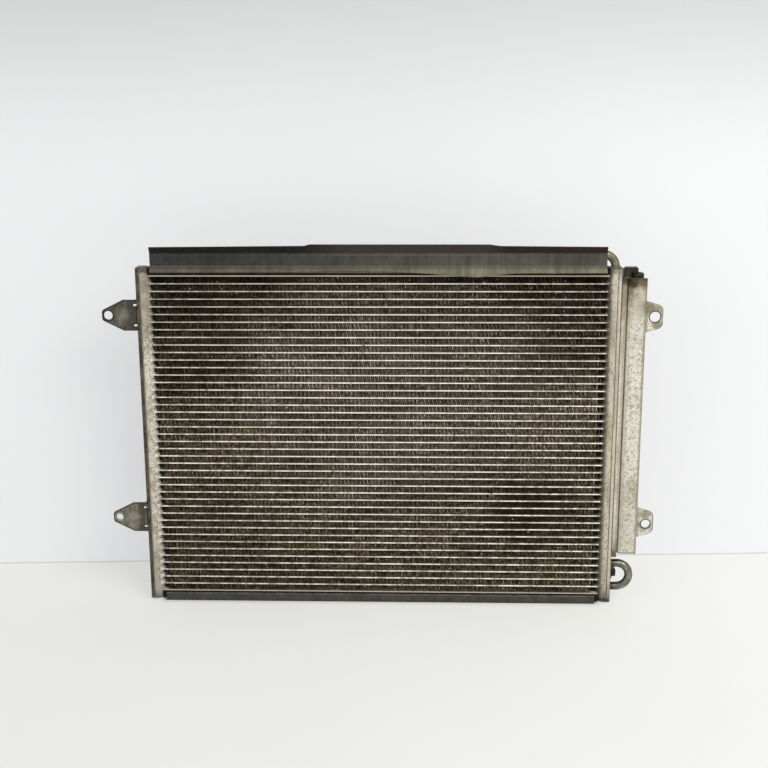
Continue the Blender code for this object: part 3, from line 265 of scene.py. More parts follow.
# %% [markdown]
# An edge shows wear where hands, clips and stones touched it. The Bevel node gives the normal that
# a rounded edge would have. Where it differs from the true normal there is an edge, and a noise
# breaks the line up so that it doesn't look drawn. Most finishes colour these edges bright with wear;
# the bracket colours them dark, a painted shade along its rims.

# %% Group: worn and shaded edges
WORN_AND_SHADED_EDGES, given, result = start_group("worn and shaded edges", {"Width": 0.0006, "Breakup": 300.0}, "Mask")
rounded = put(WORN_AND_SHADED_EDGES, "Bevel", {"Radius": given["Width"]}, samples=4).outputs[0]
true_normal = put(WORN_AND_SHADED_EDGES, "NewGeometry").outputs["Normal"]
match = put(WORN_AND_SHADED_EDGES, "VectorMath", {0: rounded, 1: true_normal}, operation="DOT_PRODUCT")
turned = arithmetic(WORN_AND_SHADED_EDGES, "SUBTRACT", 1.0, match.outputs["Value"])
chips = noise_in(WORN_AND_SHADED_EDGES, given["Breakup"], 3.0).outputs["Fac"]
broken = ramp(WORN_AND_SHADED_EDGES, chips, 0.38, 0.58)
edge = times(WORN_AND_SHADED_EDGES, ramp(WORN_AND_SHADED_EDGES, turned, 0.01, 0.16), broken)
WORN_AND_SHADED_EDGES.links.new(edge, result["Mask"])

# %% [markdown]
# Rolled and cast aluminium is never smooth up close. Grain gives a fine height for the Bump node
# and a mask of specks, the salt and flux spots that dot an old condenser.

# %% Group: grain
GRAIN, given, result = start_group(
    "grain", {"Scale": 900.0, "Stretch": NO_STRETCH, "Speck Size": 420.0}, "Height", "Specks"
)
fine = noise_in(GRAIN, given["Scale"], 5.0, given["Stretch"]).outputs["Fac"]
GRAIN.links.new(fine, result["Height"])
cells = put(GRAIN, "TexVoronoi", {"Vector": place_on_part(GRAIN), "Scale": given["Speck Size"]})
spots = ramp(GRAIN, cells.outputs["Distance"], 0.28, 0.16)
tone = put(GRAIN, "SeparateColor", {0: cells.outputs["Color"]}).outputs[0]
GRAIN.links.new(times(GRAIN, spots, ramp(GRAIN, tone, 0.55, 0.75)), result["Specks"])


def grain_of(tree, scale, speck_size):
    """The grain's two outputs: Height and Specks."""
    return put(tree, "Group", {"Scale": scale, "Speck Size": speck_size}, node_tree=GRAIN).outputs

# %% [markdown]
# Dust lies where it can't slide off. The upward part of the normal says how level a place is, and
# a noise thins the layer.

# %% Group: settled dust
SETTLED_DUST, given, result = start_group("settled dust", {"Amount": 1.0, "Scale": 120.0}, "Mask")
level = ramp(SETTLED_DUST, normal_along(SETTLED_DUST, "Z"), 0.15, 0.9)
thin = noise_in(SETTLED_DUST, given["Scale"], 5.0).outputs["Fac"]
layer = times(SETTLED_DUST, level, ramp(SETTLED_DUST, thin, 0.3, 0.65))
amount = arithmetic(SETTLED_DUST, "MULTIPLY", layer, given["Amount"], clamp=True)
SETTLED_DUST.links.new(amount, result["Mask"])

# %% [markdown]
# A band is a mask that is 1 between two heights, or between two places along the part. It is how
# grime near the top of a plate, or a pale fold, is put where the real one has it.

# %% Group: band
ALONG_X = (1.0, 0.0, 0.0)
ALONG_Y = (0.0, 1.0, 0.0)
ALONG_Z = (0.0, 0.0, 1.0)
BAND, given, result = start_group(
    "band",
    {"Axis": ALONG_Z, "From": 0.0, "To": 1.0, "Fade": 0.005, "Ragged": 0.002, "Scale": 150.0},
    "Mask",
)
along = put(BAND, "VectorMath", {0: place_on_part(BAND), 1: given["Axis"]}, operation="DOT_PRODUCT")
value = arithmetic(BAND, "ADD", along.outputs["Value"], ragged_shift(BAND, given, 4.0))
rising = ramp(BAND, value, arithmetic(BAND, "SUBTRACT", given["From"], given["Fade"]), given["From"])
falling = ramp(BAND, value, arithmetic(BAND, "ADD", given["To"], given["Fade"]), given["To"])
BAND.links.new(times(BAND, rising, falling), result["Mask"])

# %% [markdown]
# Some marks lie about a point, such as the oil round a clip. A spot is a ragged round mask that
# fades with the distance from its centre.

# %% Group: spot
SPOT, given, result = start_group(
    "spot", {"Centre": (0.0, 0.0, 0.0), "Reach": 0.02, "Ragged": 0.3, "Scale": 120.0}, "Mask"
)
gap = put(SPOT, "VectorMath", {0: place_on_part(SPOT), 1: given["Centre"]}, operation="DISTANCE")
share = arithmetic(SPOT, "DIVIDE", gap.outputs["Value"], given["Reach"])
share = arithmetic(SPOT, "ADD", share, ragged_shift(SPOT, given, 5.0))
SPOT.links.new(ramp(SPOT, share, 1.0, 0.2), result["Mask"])
print("shader groups:", [group.name for group in bpy.data.node_groups])

# %% [markdown]
# The metals share one recipe. It starts with a base colour, lays cloudy stains and specks on it,
# then bands and spots of grime at stated places, some of which are painted shade, marks the edges,
# bright with wear on most parts and dark with painted shade on the bracket, and lets dust settle
# last. On the pipes it also paints shade on the sides and a highlight on the front. Each piece gives
# its own colours and amounts, taken from how it looks on the real part.

# %% Recipe: aged metal
def new_material(name):
    """A material and its tree."""
    material = bpy.data.materials.new(name)
    material.use_nodes = True
    return material, material.node_tree


def shade_with(material, sockets):
    """Fill the sockets of the material's Principled shader."""
    fill(material.node_tree, material.node_tree.nodes["Principled BSDF"], sockets)


def relief(tree, strength, depth, height):
    """The normal of a fine relief."""
    return put(tree, "Bump", {"Strength": strength, "Distance": depth, "Height": height}).outputs[0]


def aged_metal(
    name,
    base,
    stain,
    edge,
    speck,
    metallic=0.35,
    roughness=0.55,
    stain_scale=60.0,
    stain_level=0.5,
    stain_softness=0.12,
    stretch=NO_STRETCH,
    grain_scale=900.0,
    speck_size=420.0,
    bump=0.15,
    dust=0.4,
    dust_colour=(0.42, 0.37, 0.28),
    gloss=0.4,
    mottle=None,
    bands=(),
    spots=(),
    painted_side_shade=1.0,
    edge_width=0.0006,
):
    """Old aluminium. A mottle is (colour, scale, level, softness), a band (colour, strength, axis,
    from, to, fade, ragged), and a spot (colour, strength, centre, reach), with the fade, ragged and
    reach in mm. A painted side shade under 1 darkens what turns away from the front and the back and
    brightens what faces them: a painted shade and highlight on a pipe."""
    material, tree = new_material(name)
    clouds = mask_of(tree, STAINS, stain_scale, stain_level, stain_softness, stretch)
    grain = grain_of(tree, grain_scale, speck_size)
    colour = blend_colour(tree, clouds, base, stain)
    if mottle:
        colour = blend_colour(tree, mask_of(tree, STAINS, *mottle[1:]), colour, mottle[0])
    colour = tinted(tree, colour, ramp(tree, grain["Height"], 0.3, 0.7, 0.74, 1.2))
    colour = blend_colour(tree, grain["Specks"], colour, speck)
    for shade, strength, axis, start, end, fade, ragged in bands:
        band = mask_of(tree, BAND, axis, start, end, fade * MM, ragged * MM)
        colour = marked(tree, colour, band, strength, shade)
    for shade, strength, centre, reach in spots:
        spot = mask_of(tree, SPOT, centre, reach * MM)
        colour = marked(tree, colour, spot, strength, shade)
    # Painted shade on the sides that turn away, and a painted highlight where the surface faces front or
    # back.
    if painted_side_shade < 1.0:
        facing = arithmetic(tree, "ABSOLUTE", normal_along(tree, "Y"))
        colour = tinted(tree, colour, ramp(tree, facing, 0.3, 0.95, painted_side_shade, 1.15))
    colour = blend_colour(tree, mask_of(tree, WORN_AND_SHADED_EDGES, edge_width), colour, edge)
    settled = mask_of(tree, SETTLED_DUST, dust)
    sockets = {
        "Base Color": blend_colour(tree, settled, colour, dust_colour),
        "Roughness": graded(tree, clouds, roughness - 0.08, roughness + 0.14),
        "Metallic": graded(tree, settled, metallic, 0.0),
        "Specular IOR Level": gloss,
        "Normal": relief(tree, bump, 0.0004, arithmetic(tree, "ADD", grain["Height"], grain["Specks"])),
    }
    shade_with(material, sockets)
    return material

# %% [markdown]
# The header plates are the palest metal. The left one is rough and mottled with old flux, the right
# one smoother and warmer. Both darken with grime at their very top. The right one also darkens
# towards the core, where it turns away from the light: dirt and painted shade.

# %% Header finishes
GRIME = (0.060, 0.052, 0.036)
TOP_Z = cap_high.z
BOTTOM_Z = foot_low.z
LEFT_SEAM_X = MIDDLE_X - HEADER_SEAM
RIGHT_SEAM_X = MIDDLE_X + HEADER_SEAM
RIGHT_INNER_X = MIDDLE_X + HEADER_INNER
RIGHT_TANK_X = MIDDLE_X + TANK_OUTER

left_plate_finish = aged_metal(
    "left header plate", (0.64, 0.595, 0.51), (0.37, 0.325, 0.245), (0.62, 0.58, 0.50),
    (0.15, 0.125, 0.09),
    metallic=0.1, roughness=0.62, stain_scale=75.0, stain_level=0.53, stain_softness=0.12,
    speck_size=330.0, bump=0.6, gloss=0.3, mottle=((0.20, 0.17, 0.125), 480.0, 0.575, 0.07),
    bands=[
        ((0.20, 0.175, 0.115), 0.55, ALONG_Z, TOP_Z - 60 * MM, TOP_Z + 1, 75, 12),
        (GRIME, 0.9, ALONG_Z, TOP_Z - 5 * MM, TOP_Z + 1, 3, 1.5),
        ((0.13, 0.11, 0.08), 0.7, ALONG_X, -1.0, LEFT_SEAM_X + 1.0 * MM, 1.4, 0.4),
        ((0.27, 0.225, 0.17), 0.5, ALONG_Z, BOTTOM_Z - 1, BOTTOM_Z + 40 * MM, 60, 12),
        (GRIME, 0.65, ALONG_Z, BOTTOM_Z - 1, BOTTOM_Z + 3 * MM, 8, 3),
    ],
)
left_collar_finish = aged_metal(
    "left braze collars", (0.84, 0.80, 0.72), (0.52, 0.47, 0.38), (0.85, 0.82, 0.75), (0.12, 0.10, 0.075),
    metallic=0.1, roughness=0.55, stain_scale=160.0, bump=0.5,
    bands=[((0.16, 0.14, 0.095), 0.7, ALONG_Z, TOP_Z - 50 * MM, TOP_Z + 1, 60, 12)],
)
right_plate_finish = aged_metal(
    "right header plate", (0.56, 0.505, 0.40), (0.36, 0.315, 0.235), (0.62, 0.57, 0.47),
    (0.13, 0.11, 0.08),
    metallic=0.2, roughness=0.5, stain_scale=70.0, stain_level=0.55, stain_softness=0.15,
    stretch=(1.0, 1.0, 0.35), speck_size=300.0, mottle=((0.20, 0.17, 0.125), 330.0, 0.60, 0.05),
    bands=[
        # Darker towards the core: dirt and painted shade where the plate turns away from the light.
        ((0.07, 0.058, 0.038), 0.92, ALONG_X, 0.0, RIGHT_INNER_X + 2.4 * MM, 5.4, 0.8),
        (GRIME, 0.85, ALONG_X, RIGHT_SEAM_X - 0.5 * MM, 1.0, 0.4, 0.15),
        ((0.075, 0.062, 0.042), 0.7, ALONG_Z, BOTTOM_Z - 1, BOTTOM_Z + 8 * MM, 16, 4),
        ((0.022, 0.017, 0.010), 0.95, ALONG_Z, BOTTOM_Z - 1, BOTTOM_Z + 3 * MM, 5, 2),
        (GRIME, 0.6, ALONG_Z, TOP_Z - 4 * MM, TOP_Z + 1, 8, 3),
    ],
)

# %% [markdown]
# The tank walls come from another sheet. On the left only a strip of the tank is seen, turned away
# from the light, and its dark olive colour is painted shade. On the right it is a flat, pale band
# between two dark lines.

# %% Tank and cap finishes
# The left tank is the right tank's metal in painted shade.
left_tank_shade_finish = aged_metal(
    "left tank, painted shade", (0.105, 0.089, 0.060), (0.045, 0.038, 0.026), (0.30, 0.26, 0.19), (0.16, 0.14, 0.10),
    metallic=0.1, roughness=0.65, stain_scale=110.0, bump=0.3, dust=0.2, gloss=0.15,
)
right_tank_finish = aged_metal(
    "right tank", (0.56, 0.50, 0.39), (0.39, 0.34, 0.25), (0.66, 0.61, 0.51), (0.20, 0.17, 0.125),
    metallic=0.25, roughness=0.42, stain_scale=50.0, stretch=(1.0, 1.0, 0.3), stain_level=0.6,
    bands=[
        (GRIME, 0.75, ALONG_X, RIGHT_TANK_X - 0.5 * MM, 1.0, 0.4, 0.12),
        (GRIME, 0.55, ALONG_Z, BOTTOM_Z - 1, BOTTOM_Z + 8 * MM, 30, 6),
        ((0.022, 0.017, 0.010), 0.9, ALONG_Z, BOTTOM_Z - 1, BOTTOM_Z + 3 * MM, 5, 2),
        (GRIME, 0.6, ALONG_Z, TOP_Z - 7 * MM, TOP_Z + 1, 10, 3),
    ],
)
cap_finish = aged_metal(
    "header caps", (0.13, 0.112, 0.078), (0.05, 0.042, 0.029), (0.42, 0.38, 0.30), (0.04, 0.034, 0.025),
    metallic=0.2, roughness=0.6, stain_scale=160.0, bump=0.35, dust=0.25, gloss=0.25,
)

# %% [markdown]
# The bracket plate is brighter in its middle and darker at both sides: beside the rail with painted
# shade, at its outer edge with a greenish film. Oil has run down from its top. Its edges take a dark
# colour, a painted shade along its rims, and the rail's right part is darker, a painted shade in the
# gap by the bracket.

# %% Bracket, rail and ear finishes
bracket_low, bracket_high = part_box("receiver_bracket")
rail_low, rail_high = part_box("bracket_rail")
PLATE_RIGHT = rail_high.x + 24.1 * MM
UPPER_EAR_Z = ROW_ZERO_Z + 359.3 * MM
LOWER_EAR_Z = ROW_ZERO_Z + 97.3 * MM
EAR_HOLE_X = PLATE_RIGHT + 10.8 * MM
PLATE_FRONT = bracket_low.y
PLATE_TOP = bracket_high.z
OUTER_LINE = (PLATE_RIGHT - 1.4 * MM, PLATE_RIGHT + 0.8 * MM)
NECK = (LEFT_SEAM_X - 15 * MM, LEFT_SEAM_X - 9 * MM)

# The dark edge colour is a painted shade along the bracket's rims.
bracket_finish = aged_metal(
    "receiver bracket", (0.67, 0.625, 0.545), (0.46, 0.415, 0.335), (0.19, 0.165, 0.115),
    (0.26, 0.225, 0.165),
    metallic=0.15, roughness=0.5, stain_scale=42.0, stain_level=0.55, stretch=(1.0, 1.0, 0.5),
    speck_size=260.0, gloss=0.12, mottle=((0.34, 0.30, 0.22), 290.0, 0.59, 0.07), edge_width=0.0011,
    bands=[
        ((0.14, 0.125, 0.085), 0.75, ALONG_X, bracket_high.x - 0.8 * MM, 1.0, 1.2, 0.5),
        # Darker beside the rail: painted shade in the gap between rail and bracket.
        ((0.34, 0.295, 0.20), 0.45, ALONG_X, 0.0, rail_high.x + 3.6 * MM, 4.5, 1.4),
        ((0.21, 0.20, 0.135), 0.7, ALONG_X, *OUTER_LINE, 2.2, 0.6),
        ((0.27, 0.225, 0.14), 0.45, ALONG_Z, PLATE_TOP - 30 * MM, 1.0, 34, 12),
        ((0.105, 0.076, 0.040), 0.85, ALONG_Z, PLATE_TOP - 4.5 * MM, 1.0, 10, 5.5),
        ((0.030, 0.021, 0.010), 0.85, ALONG_Z, PLATE_TOP - 0.5 * MM, 1.0, 3, 2.0),
        (GRIME, 0.85, ALONG_Z, 0.0, bracket_low.z + 0.9 * MM, 1.0, 0.3),
    ],
    spots=[
        ((0.14, 0.108, 0.060), 0.85, (rail_high.x + 0.5 * MM, PLATE_FRONT, PLATE_TOP - 16 * MM), 20),
        ((0.012, 0.008, 0.003), 0.95, (rail_high.x + 1.5 * MM, PLATE_FRONT, PLATE_TOP - 4 * MM), 12),
        ((0.050, 0.034, 0.016), 0.8, (rail_high.x + 8.5 * MM, PLATE_FRONT, PLATE_TOP - 7 * MM), 7),
        ((0.12, 0.085, 0.045), 0.8, (PLATE_RIGHT - 4 * MM, PLATE_FRONT, PLATE_TOP - 8 * MM), 9),
        ((0.16, 0.143, 0.078), 0.8, (PLATE_RIGHT + 4 * MM, PLATE_FRONT, UPPER_EAR_Z + 11 * MM), 13),
        ((0.20, 0.185, 0.115), 0.7, (EAR_HOLE_X + 3 * MM, PLATE_FRONT, UPPER_EAR_Z + 9 * MM), 10),
        ((0.17, 0.15, 0.095), 0.8, (EAR_HOLE_X + 3 * MM, PLATE_FRONT, UPPER_EAR_Z - 9 * MM), 9),
        ((0.15, 0.13, 0.085), 0.8, (EAR_HOLE_X - 3 * MM, PLATE_FRONT, LOWER_EAR_Z - 5 * MM), 11),
        ((0.20, 0.175, 0.12), 0.75, (EAR_HOLE_X, PLATE_FRONT, LOWER_EAR_Z + 12 * MM), 10),
    ],
)
rail_finish = aged_metal(
    "bracket rail", (0.64, 0.60, 0.50), (0.46, 0.42, 0.33), (0.7, 0.66, 0.56), (0.2, 0.17, 0.12),
    stain_scale=60.0, stretch=(1.0, 1.0, 0.3),
    bands=[
        # Darker on its right part: painted shade in the gap by the bracket.
        ((0.27, 0.235, 0.155), 0.5, ALONG_X, rail_low.x + 3.6 * MM, rail_high.x, 1.2, 0.4),
        ((0.14, 0.115, 0.068), 0.75, ALONG_Z, rail_high.z - 22 * MM, 1.0, 60, 10),
        ((0.030, 0.021, 0.010), 0.95, ALONG_Z, rail_high.z - 5 * MM, 1.0, 9, 2),
        ((0.10, 0.083, 0.05), 0.8, ALONG_Z, 0.0, rail_low.z + 6 * MM, 6, 2),
        ((0.13, 0.11, 0.07), 0.5, ALONG_Z, 0.0, rail_low.z + 8 * MM, 35, 8),
    ],
)


def left_ear_finish(name, hole_z, base, scuffed, scuff):
    """Dark sheet that is scuffed between its hole and its dark neck."""
    middle = (LEFT_SEAM_X - 24 * MM, PLATE_FRONT, hole_z)
    below = (LEFT_SEAM_X - 27 * MM, PLATE_FRONT, hole_z - 11 * MM)
    return aged_metal(
        name, base, tuple(value * 1.7 for value in base), (0.20, 0.18, 0.14), (0.035, 0.03, 0.022),
        metallic=0.25, roughness=0.5, stain_scale=170.0, stain_level=0.55, stain_softness=0.07,
        stretch=(1.0, 1.0, 0.6), bump=0.35, dust=0.2, gloss=0.25, mottle=(scuffed, 260.0, 0.62, 0.06),
        bands=[((0.050, 0.042, 0.029), 0.8, ALONG_X, *NECK, 3, 1)],
        spots=[
            (scuffed, scuff, middle, 13),
            (scuffed, scuff, below, 7),
        ],
    )


upper_ear_finish = left_ear_finish(
    "left upper ear", ROW_ZERO_Z + 359.8 * MM, (0.062, 0.052, 0.038), (0.22, 0.20, 0.162), 0.65
)
lower_ear_finish = left_ear_finish(
    "left lower ear", ROW_ZERO_Z + 98.8 * MM, (0.118, 0.104, 0.080), (0.30, 0.278, 0.235), 0.6
)
# Near black: a painted shade on the ears' folded rims and round the dark holes. The rail's tongue takes
# it too.
ear_rim_finish = aged_metal(
    "ear rims", (0.018, 0.015, 0.011), (0.045, 0.039, 0.029), (0.06, 0.053, 0.041), (0.02, 0.018, 0.013),
    metallic=0.2, roughness=0.5, stain_scale=170.0, gloss=0.1,
)
bare_ring_finish = aged_metal(
    "rubbed rings", (0.33, 0.305, 0.26), (0.16, 0.142, 0.11), (0.62, 0.60, 0.55), (0.12, 0.10, 0.08),
    metallic=0.4, roughness=0.42, stain_scale=240.0,
)

# %% [markdown]
# Pipes are drawn tube. The crossover pipe is dark where it leaves the tank. Both pipes are darker on
# the sides that turn away from the front and brighter where they face it: a painted shade and
# highlight.

# %% Pipe and block finishes
crossover_low, crossover_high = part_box("crossover_pipe")

# Painted shade on the pipes' sides and a painted highlight on their fronts, set by the painted side
# shade.
inlet_finish = aged_metal(
    "inlet pipe", (0.25, 0.222, 0.155), (0.12, 0.105, 0.07), (0.5, 0.45, 0.35), (0.05, 0.043, 0.03),
    metallic=0.5, roughness=0.4, stain_scale=120.0, dust=0.3, dust_colour=(0.34, 0.30, 0.22),
    painted_side_shade=0.35,
)
crossover_finish = aged_metal(
    "crossover pipe", (0.28, 0.262, 0.225), (0.13, 0.115, 0.09), (0.5, 0.47, 0.42), (0.06, 0.052, 0.04),
    metallic=0.85, roughness=0.34, stain_scale=120.0, dust=0.1, painted_side_shade=0.22,
    bands=[((0.040, 0.033, 0.024), 0.92, ALONG_X, 0.0, crossover_low.x + 5 * MM, 12, 2.0)],
)
block_finish = aged_metal(
    "machined blocks", (0.55, 0.52, 0.46), (0.38, 0.35, 0.29), (0.68, 0.66, 0.6), (0.2, 0.18, 0.14),
    metallic=0.6, roughness=0.38, stain_scale=70.0, grain_scale=1400.0, dust=0.35,
)
bottle_finish = aged_metal(
    "receiver bottle", (0.45, 0.42, 0.36), (0.30, 0.27, 0.21), (0.6, 0.57, 0.5), (0.14, 0.12, 0.09),
    metallic=0.55, roughness=0.42, stain_scale=40.0, stretch=(1.0, 1.0, 0.25),
    bands=[(GRIME, 0.6, ALONG_Z, bracket_high.z - 14 * MM, 1.0, 26, 6)],
)
# Near black: painted shade in the gaps above and below the core. The pale bands are a painted highlight
# on the lit edge of each plate.
side_plate_shade_and_highlight = aged_metal(
    "side plates", (0.016, 0.013, 0.009), (0.007, 0.006, 0.004), (0.05, 0.042, 0.03),
    (0.02, 0.017, 0.012),
    metallic=0.0, roughness=0.7, stain_scale=80.0, dust=0.05, gloss=0.1,
    bands=[
        ((0.66, 0.61, 0.51), 0.85, ALONG_Z, ROW_ZERO_Z + 0.1 * MM, ROW_ZERO_Z + 1.3 * MM, 0.35, 0.1),
        ((0.50, 0.45, 0.36), 0.85, ALONG_Z, TOP_ROW_Z - 1 * MM, TOP_ROW_Z + 0.9 * MM, 0.35, 0.1),
    ],
)
print("metal finishes:", len(bpy.data.materials))

# %% [markdown]
# The tubes are bright only where the wind has kept them clean. Along each tube the colour drifts
# between pale and dull in short lengths, and small dark chips sit on the nose. Three corners of the
# core are darker than the rest.

# %% Tube finish
CORE_HEART = (0.000, CORE_FRONT_Y, 0.300)
OILY_PLACE = (0.185, CORE_FRONT_Y, 0.118)
RIGHT_MIDDLE = (0.185, CORE_FRONT_Y, 0.28)
DARK_CORNERS = (
    (-0.27, 0.43, 0.26, 0.72, 0.47),
    (0.25, 0.42, 0.17, 0.78, 0.46),
    (-0.24, 0.02, 0.20, 0.82, 0.64),
)
FOR_TUBES, FOR_FINS = 0, 1


def corner_tone(tree, which):
    """The shade of the dark corners. Each is (x, z, reach, shade of the tubes, shade of the fins)."""
    tone = 1.0
    for x, z, reach, *shades in DARK_CORNERS:
        near = mask_of(tree, SPOT, (x, CORE_FRONT_Y, z), reach, 0.25, 14.0)
        tone = times(tree, tone, graded(tree, near, 1.0, shades[which]))
    return tone


tube_finish, tree = new_material("flat tubes")
calm = mask_of(tree, SPOT, CORE_HEART, 0.30, 0.2, 12.0)
patches = mask_of(tree, STAINS, 26.0, 0.55, 0.12, (1.0, 0.4, 5.0))
beads = mask_of(tree, STAINS, 190.0, 0.52, 0.07, (1.0, 0.3, 0.8))
dull = times(tree, patches, graded(tree, calm, 0.8, 0.3))
beading = times(tree, beads, graded(tree, calm, 0.7, 0.3))
colour = blend_colour(tree, dull, (0.99, 0.94, 0.85), (0.46, 0.40, 0.30))
colour = blend_colour(tree, beading, colour, (0.22, 0.185, 0.13))
colour = tinted(tree, colour, corner_tone(tree, FOR_TUBES))
chips = mask_of(tree, STAINS, 170.0, 0.64, 0.04, (1.0, 0.5, 1.5))
colour = blend_colour(tree, chips, colour, (0.14, 0.115, 0.08))
# Deeper than the nose, between the fins, the tubes take a dark colour: painted shade inside the core.
CORE_BACK_Y = CORE_FRONT_Y + CORE_DEPTH
depth = place_along(tree, "Y")
inside = ramp(tree, depth, CORE_FRONT_Y + 0.7 * MM, CORE_FRONT_Y + 2.5 * MM)
back = ramp(tree, depth, CORE_BACK_Y - 2.5 * MM, CORE_BACK_Y - 0.7 * MM)
inside = arithmetic(tree, "SUBTRACT", inside, back, clamp=True)
colour = blend_colour(tree, inside, colour, (0.10, 0.082, 0.056))
top_tone = ramp(tree, place_along(tree, "Z"), TOP_ROW_Z - 100 * MM, TOP_ROW_Z - 20 * MM, 1.0, 0.88)
colour = tinted(tree, colour, top_tone)
# Faces that turn down are darker: painted shade under the nose, with dirt.
under = ramp(tree, normal_along(tree, "Z"), -0.15, -0.55)
colour = marked(tree, colour, under, 0.85, (0.07, 0.056, 0.038))
grain = grain_of(tree, 700.0, 300.0)
surface = {"Metallic": 0.2, "Roughness": 0.5, "Specular IOR Level": 0.3}
surface["Normal"] = relief(tree, 0.2, 0.0003, grain["Height"])
shade_with(tube_finish, {"Base Color": colour, **surface})

# %% [markdown]
# The fins are what makes a condenser look dark: light goes into the narrow folds and doesn't come
# out. Their front edges still catch it. The finish paints this in: the walls are a near-black brown,
# dirt and painted shade inside the folds, and edges that face forwards or backwards keep a lighter
# dirty colour, with fine upright streaks. A wave at the pitch of the folds paints light and shade on
# their sides. Near the top the fins darken, and the top row is darker still, a painted shadow under
# the guide's skirt. The rows differ a little, the middle of the core has a pale haze, and a darker
# patch lies low at the right.

# %% Fin finish
FOLD_LENGTH = 2.4 * MM
WAVE_OF_A_METRE = 2 * math.pi / 20

fin_finish, tree = new_material("folded fins")
streaks = mask_of(tree, STAINS, 760.0, 0.51, 0.08, (1.0, 0.1, 0.28))
edge_colour = blend_colour(tree, streaks, (0.050, 0.033, 0.014), (0.485, 0.378, 0.240))
# The walls' near-black colour is dirt and painted shade inside the folds.
wall_colour = blend_colour(tree, streaks, (0.015, 0.009, 0.0035), (0.090, 0.063, 0.034))
edge_on = ramp(tree, arithmetic(tree, "ABSOLUTE", normal_along(tree, "Y")), 0.7, 0.95)
colour = blend_colour(tree, edge_on, wall_colour, edge_colour)

haze_depth = graded(tree, streaks, 0.14, 0.55)
haze = times(tree, mask_of(tree, SPOT, CORE_HEART, 0.24, 0.35, 9.0), haze_depth)
colour = blend_colour(tree, haze, colour, (0.56, 0.47, 0.405))
right_dust = times(tree, mask_of(tree, SPOT, RIGHT_MIDDLE, 0.16, 0.3, 12.0), haze_depth)
colour = marked(tree, colour, right_dust, 0.8, (0.57, 0.475, 0.36))

rows = mask_of(tree, STAINS, 100.0, 0.5, 0.22, (0.12, 0.0, 1.0))
clouds = mask_of(tree, STAINS, 11.0, 0.5, 0.16)
# The fold wave is painted light and shade on the sides of the folds.
pitch = WAVE_OF_A_METRE / (2 * FOLD_LENGTH)
wave = {"Scale": pitch, "Distortion": 1.2, "Detail": 2.0, "Detail Scale": 1.2}
folds = put(tree, "TexWave", {"Vector": place_on_part(tree), **wave})
rise = place_along(tree, "Z")
tone = corner_tone(tree, FOR_FINS)
# Towards the top the fins darken; the last step halves the top row, a painted shadow under the guide's
# skirt.
for value, start, end, low, high in (
    (rows, 0.0, 1.0, 0.72, 1.2),
    (clouds, 0.0, 1.0, 0.85, 1.3),
    (folds.outputs["Fac"], 0.3, 0.95, 0.72, 1.65),
    (rise, TOP_ROW_Z - 100 * MM, TOP_ROW_Z - 20 * MM, 1.0, 0.72),
    (rise, TOP_ROW_Z - 10.5 * MM, TOP_ROW_Z - 8.5 * MM, 1.0, 0.5),
):
    tone = times(tree, tone, ramp(tree, value, start, end, low, high))
colour = tinted(tree, colour, tone)
oily = mask_of(tree, SPOT, OILY_PLACE, 0.085, 0.3, 40.0)
colour = marked(tree, colour, oily, 0.75, (0.040, 0.024, 0.014))
specks = mask_of(tree, STAINS, 320.0, 0.70, 0.025, (1.0, 0.3, 0.6))
colour = blend_colour(tree, specks, colour, (0.78, 0.72, 0.60))
shade_with(fin_finish, {"Base Color": colour, "Roughness": 0.6, "Specular IOR Level": 0.04})

# %% [markdown]
# The louvres of a real fin close the view through the core. A thin dark sheet in the middle of each
# row does the same, and needs a finish that is only there to be dark: a painted shade deep in the
# core.

# %% Louvre and bent fin finishes
louvre_finish, tree = new_material("louvre bank")
shade = mask_of(tree, STAINS, 300.0, 0.5, 0.1, (1.0, 1.0, 0.3))
colour = blend_colour(tree, shade, (0.018, 0.014, 0.009), (0.042, 0.033, 0.022))
shade_with(louvre_finish, {"Base Color": colour, "Roughness": 0.8, "Specular IOR Level": 0.03})
bent_finish = aged_metal(
    "bent fin ends", (0.22, 0.185, 0.13), (0.06, 0.046, 0.028), (0.5, 0.44, 0.34), (0.05, 0.04, 0.03),
    metallic=0.15, stain_scale=130.0, stain_level=0.47, gloss=0.2,
)

# %% [markdown]
# The upper guide is a soft dark strip. Its wall has faint upright streaks, its lip is nearly black
# with rusty stains on the raised part, and its skirt is pale below a bright crease, which is a painted
# highlight along the fold. The skirt's lower half is paler still: dust, and painted light where it
# turns up.

# %% Guide finishes
guide_low, guide_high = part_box("upper_air_guide")
strip_low, strip_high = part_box("lower_air_guide")
SKIRT_TOP_Z = cap_high.z + 2.1 * MM
LIP_Z = guide_high.z - 10.6 * MM

guide_finish, tree = new_material("upper air guide")
grain = grain_of(tree, 800.0, 230.0)
across = place_along(tree, "X")
rightward = ramp(tree, across, -0.26, 0.16)
past_raised = ramp(tree, across, 0.12, 0.17)
raised = arithmetic(tree, "SUBTRACT", ramp(tree, across, -0.11, -0.03), past_raised, clamp=True)
runs = mask_of(tree, STAINS, 150.0, 0.5, 0.25, (1.0, 0.3, 0.10))
smudges = mask_of(tree, STAINS, 22.0, 0.52, 0.16, (1.0, 1.0, 1.8))
tone = times(tree, graded(tree, runs, 0.82, 1.2), graded(tree, smudges, 1.08, 0.86))
wall_colour = blend_colour(tree, rightward, (0.033, 0.033, 0.030), (0.064, 0.062, 0.051))
wall_colour = tinted(tree, wall_colour, tone)

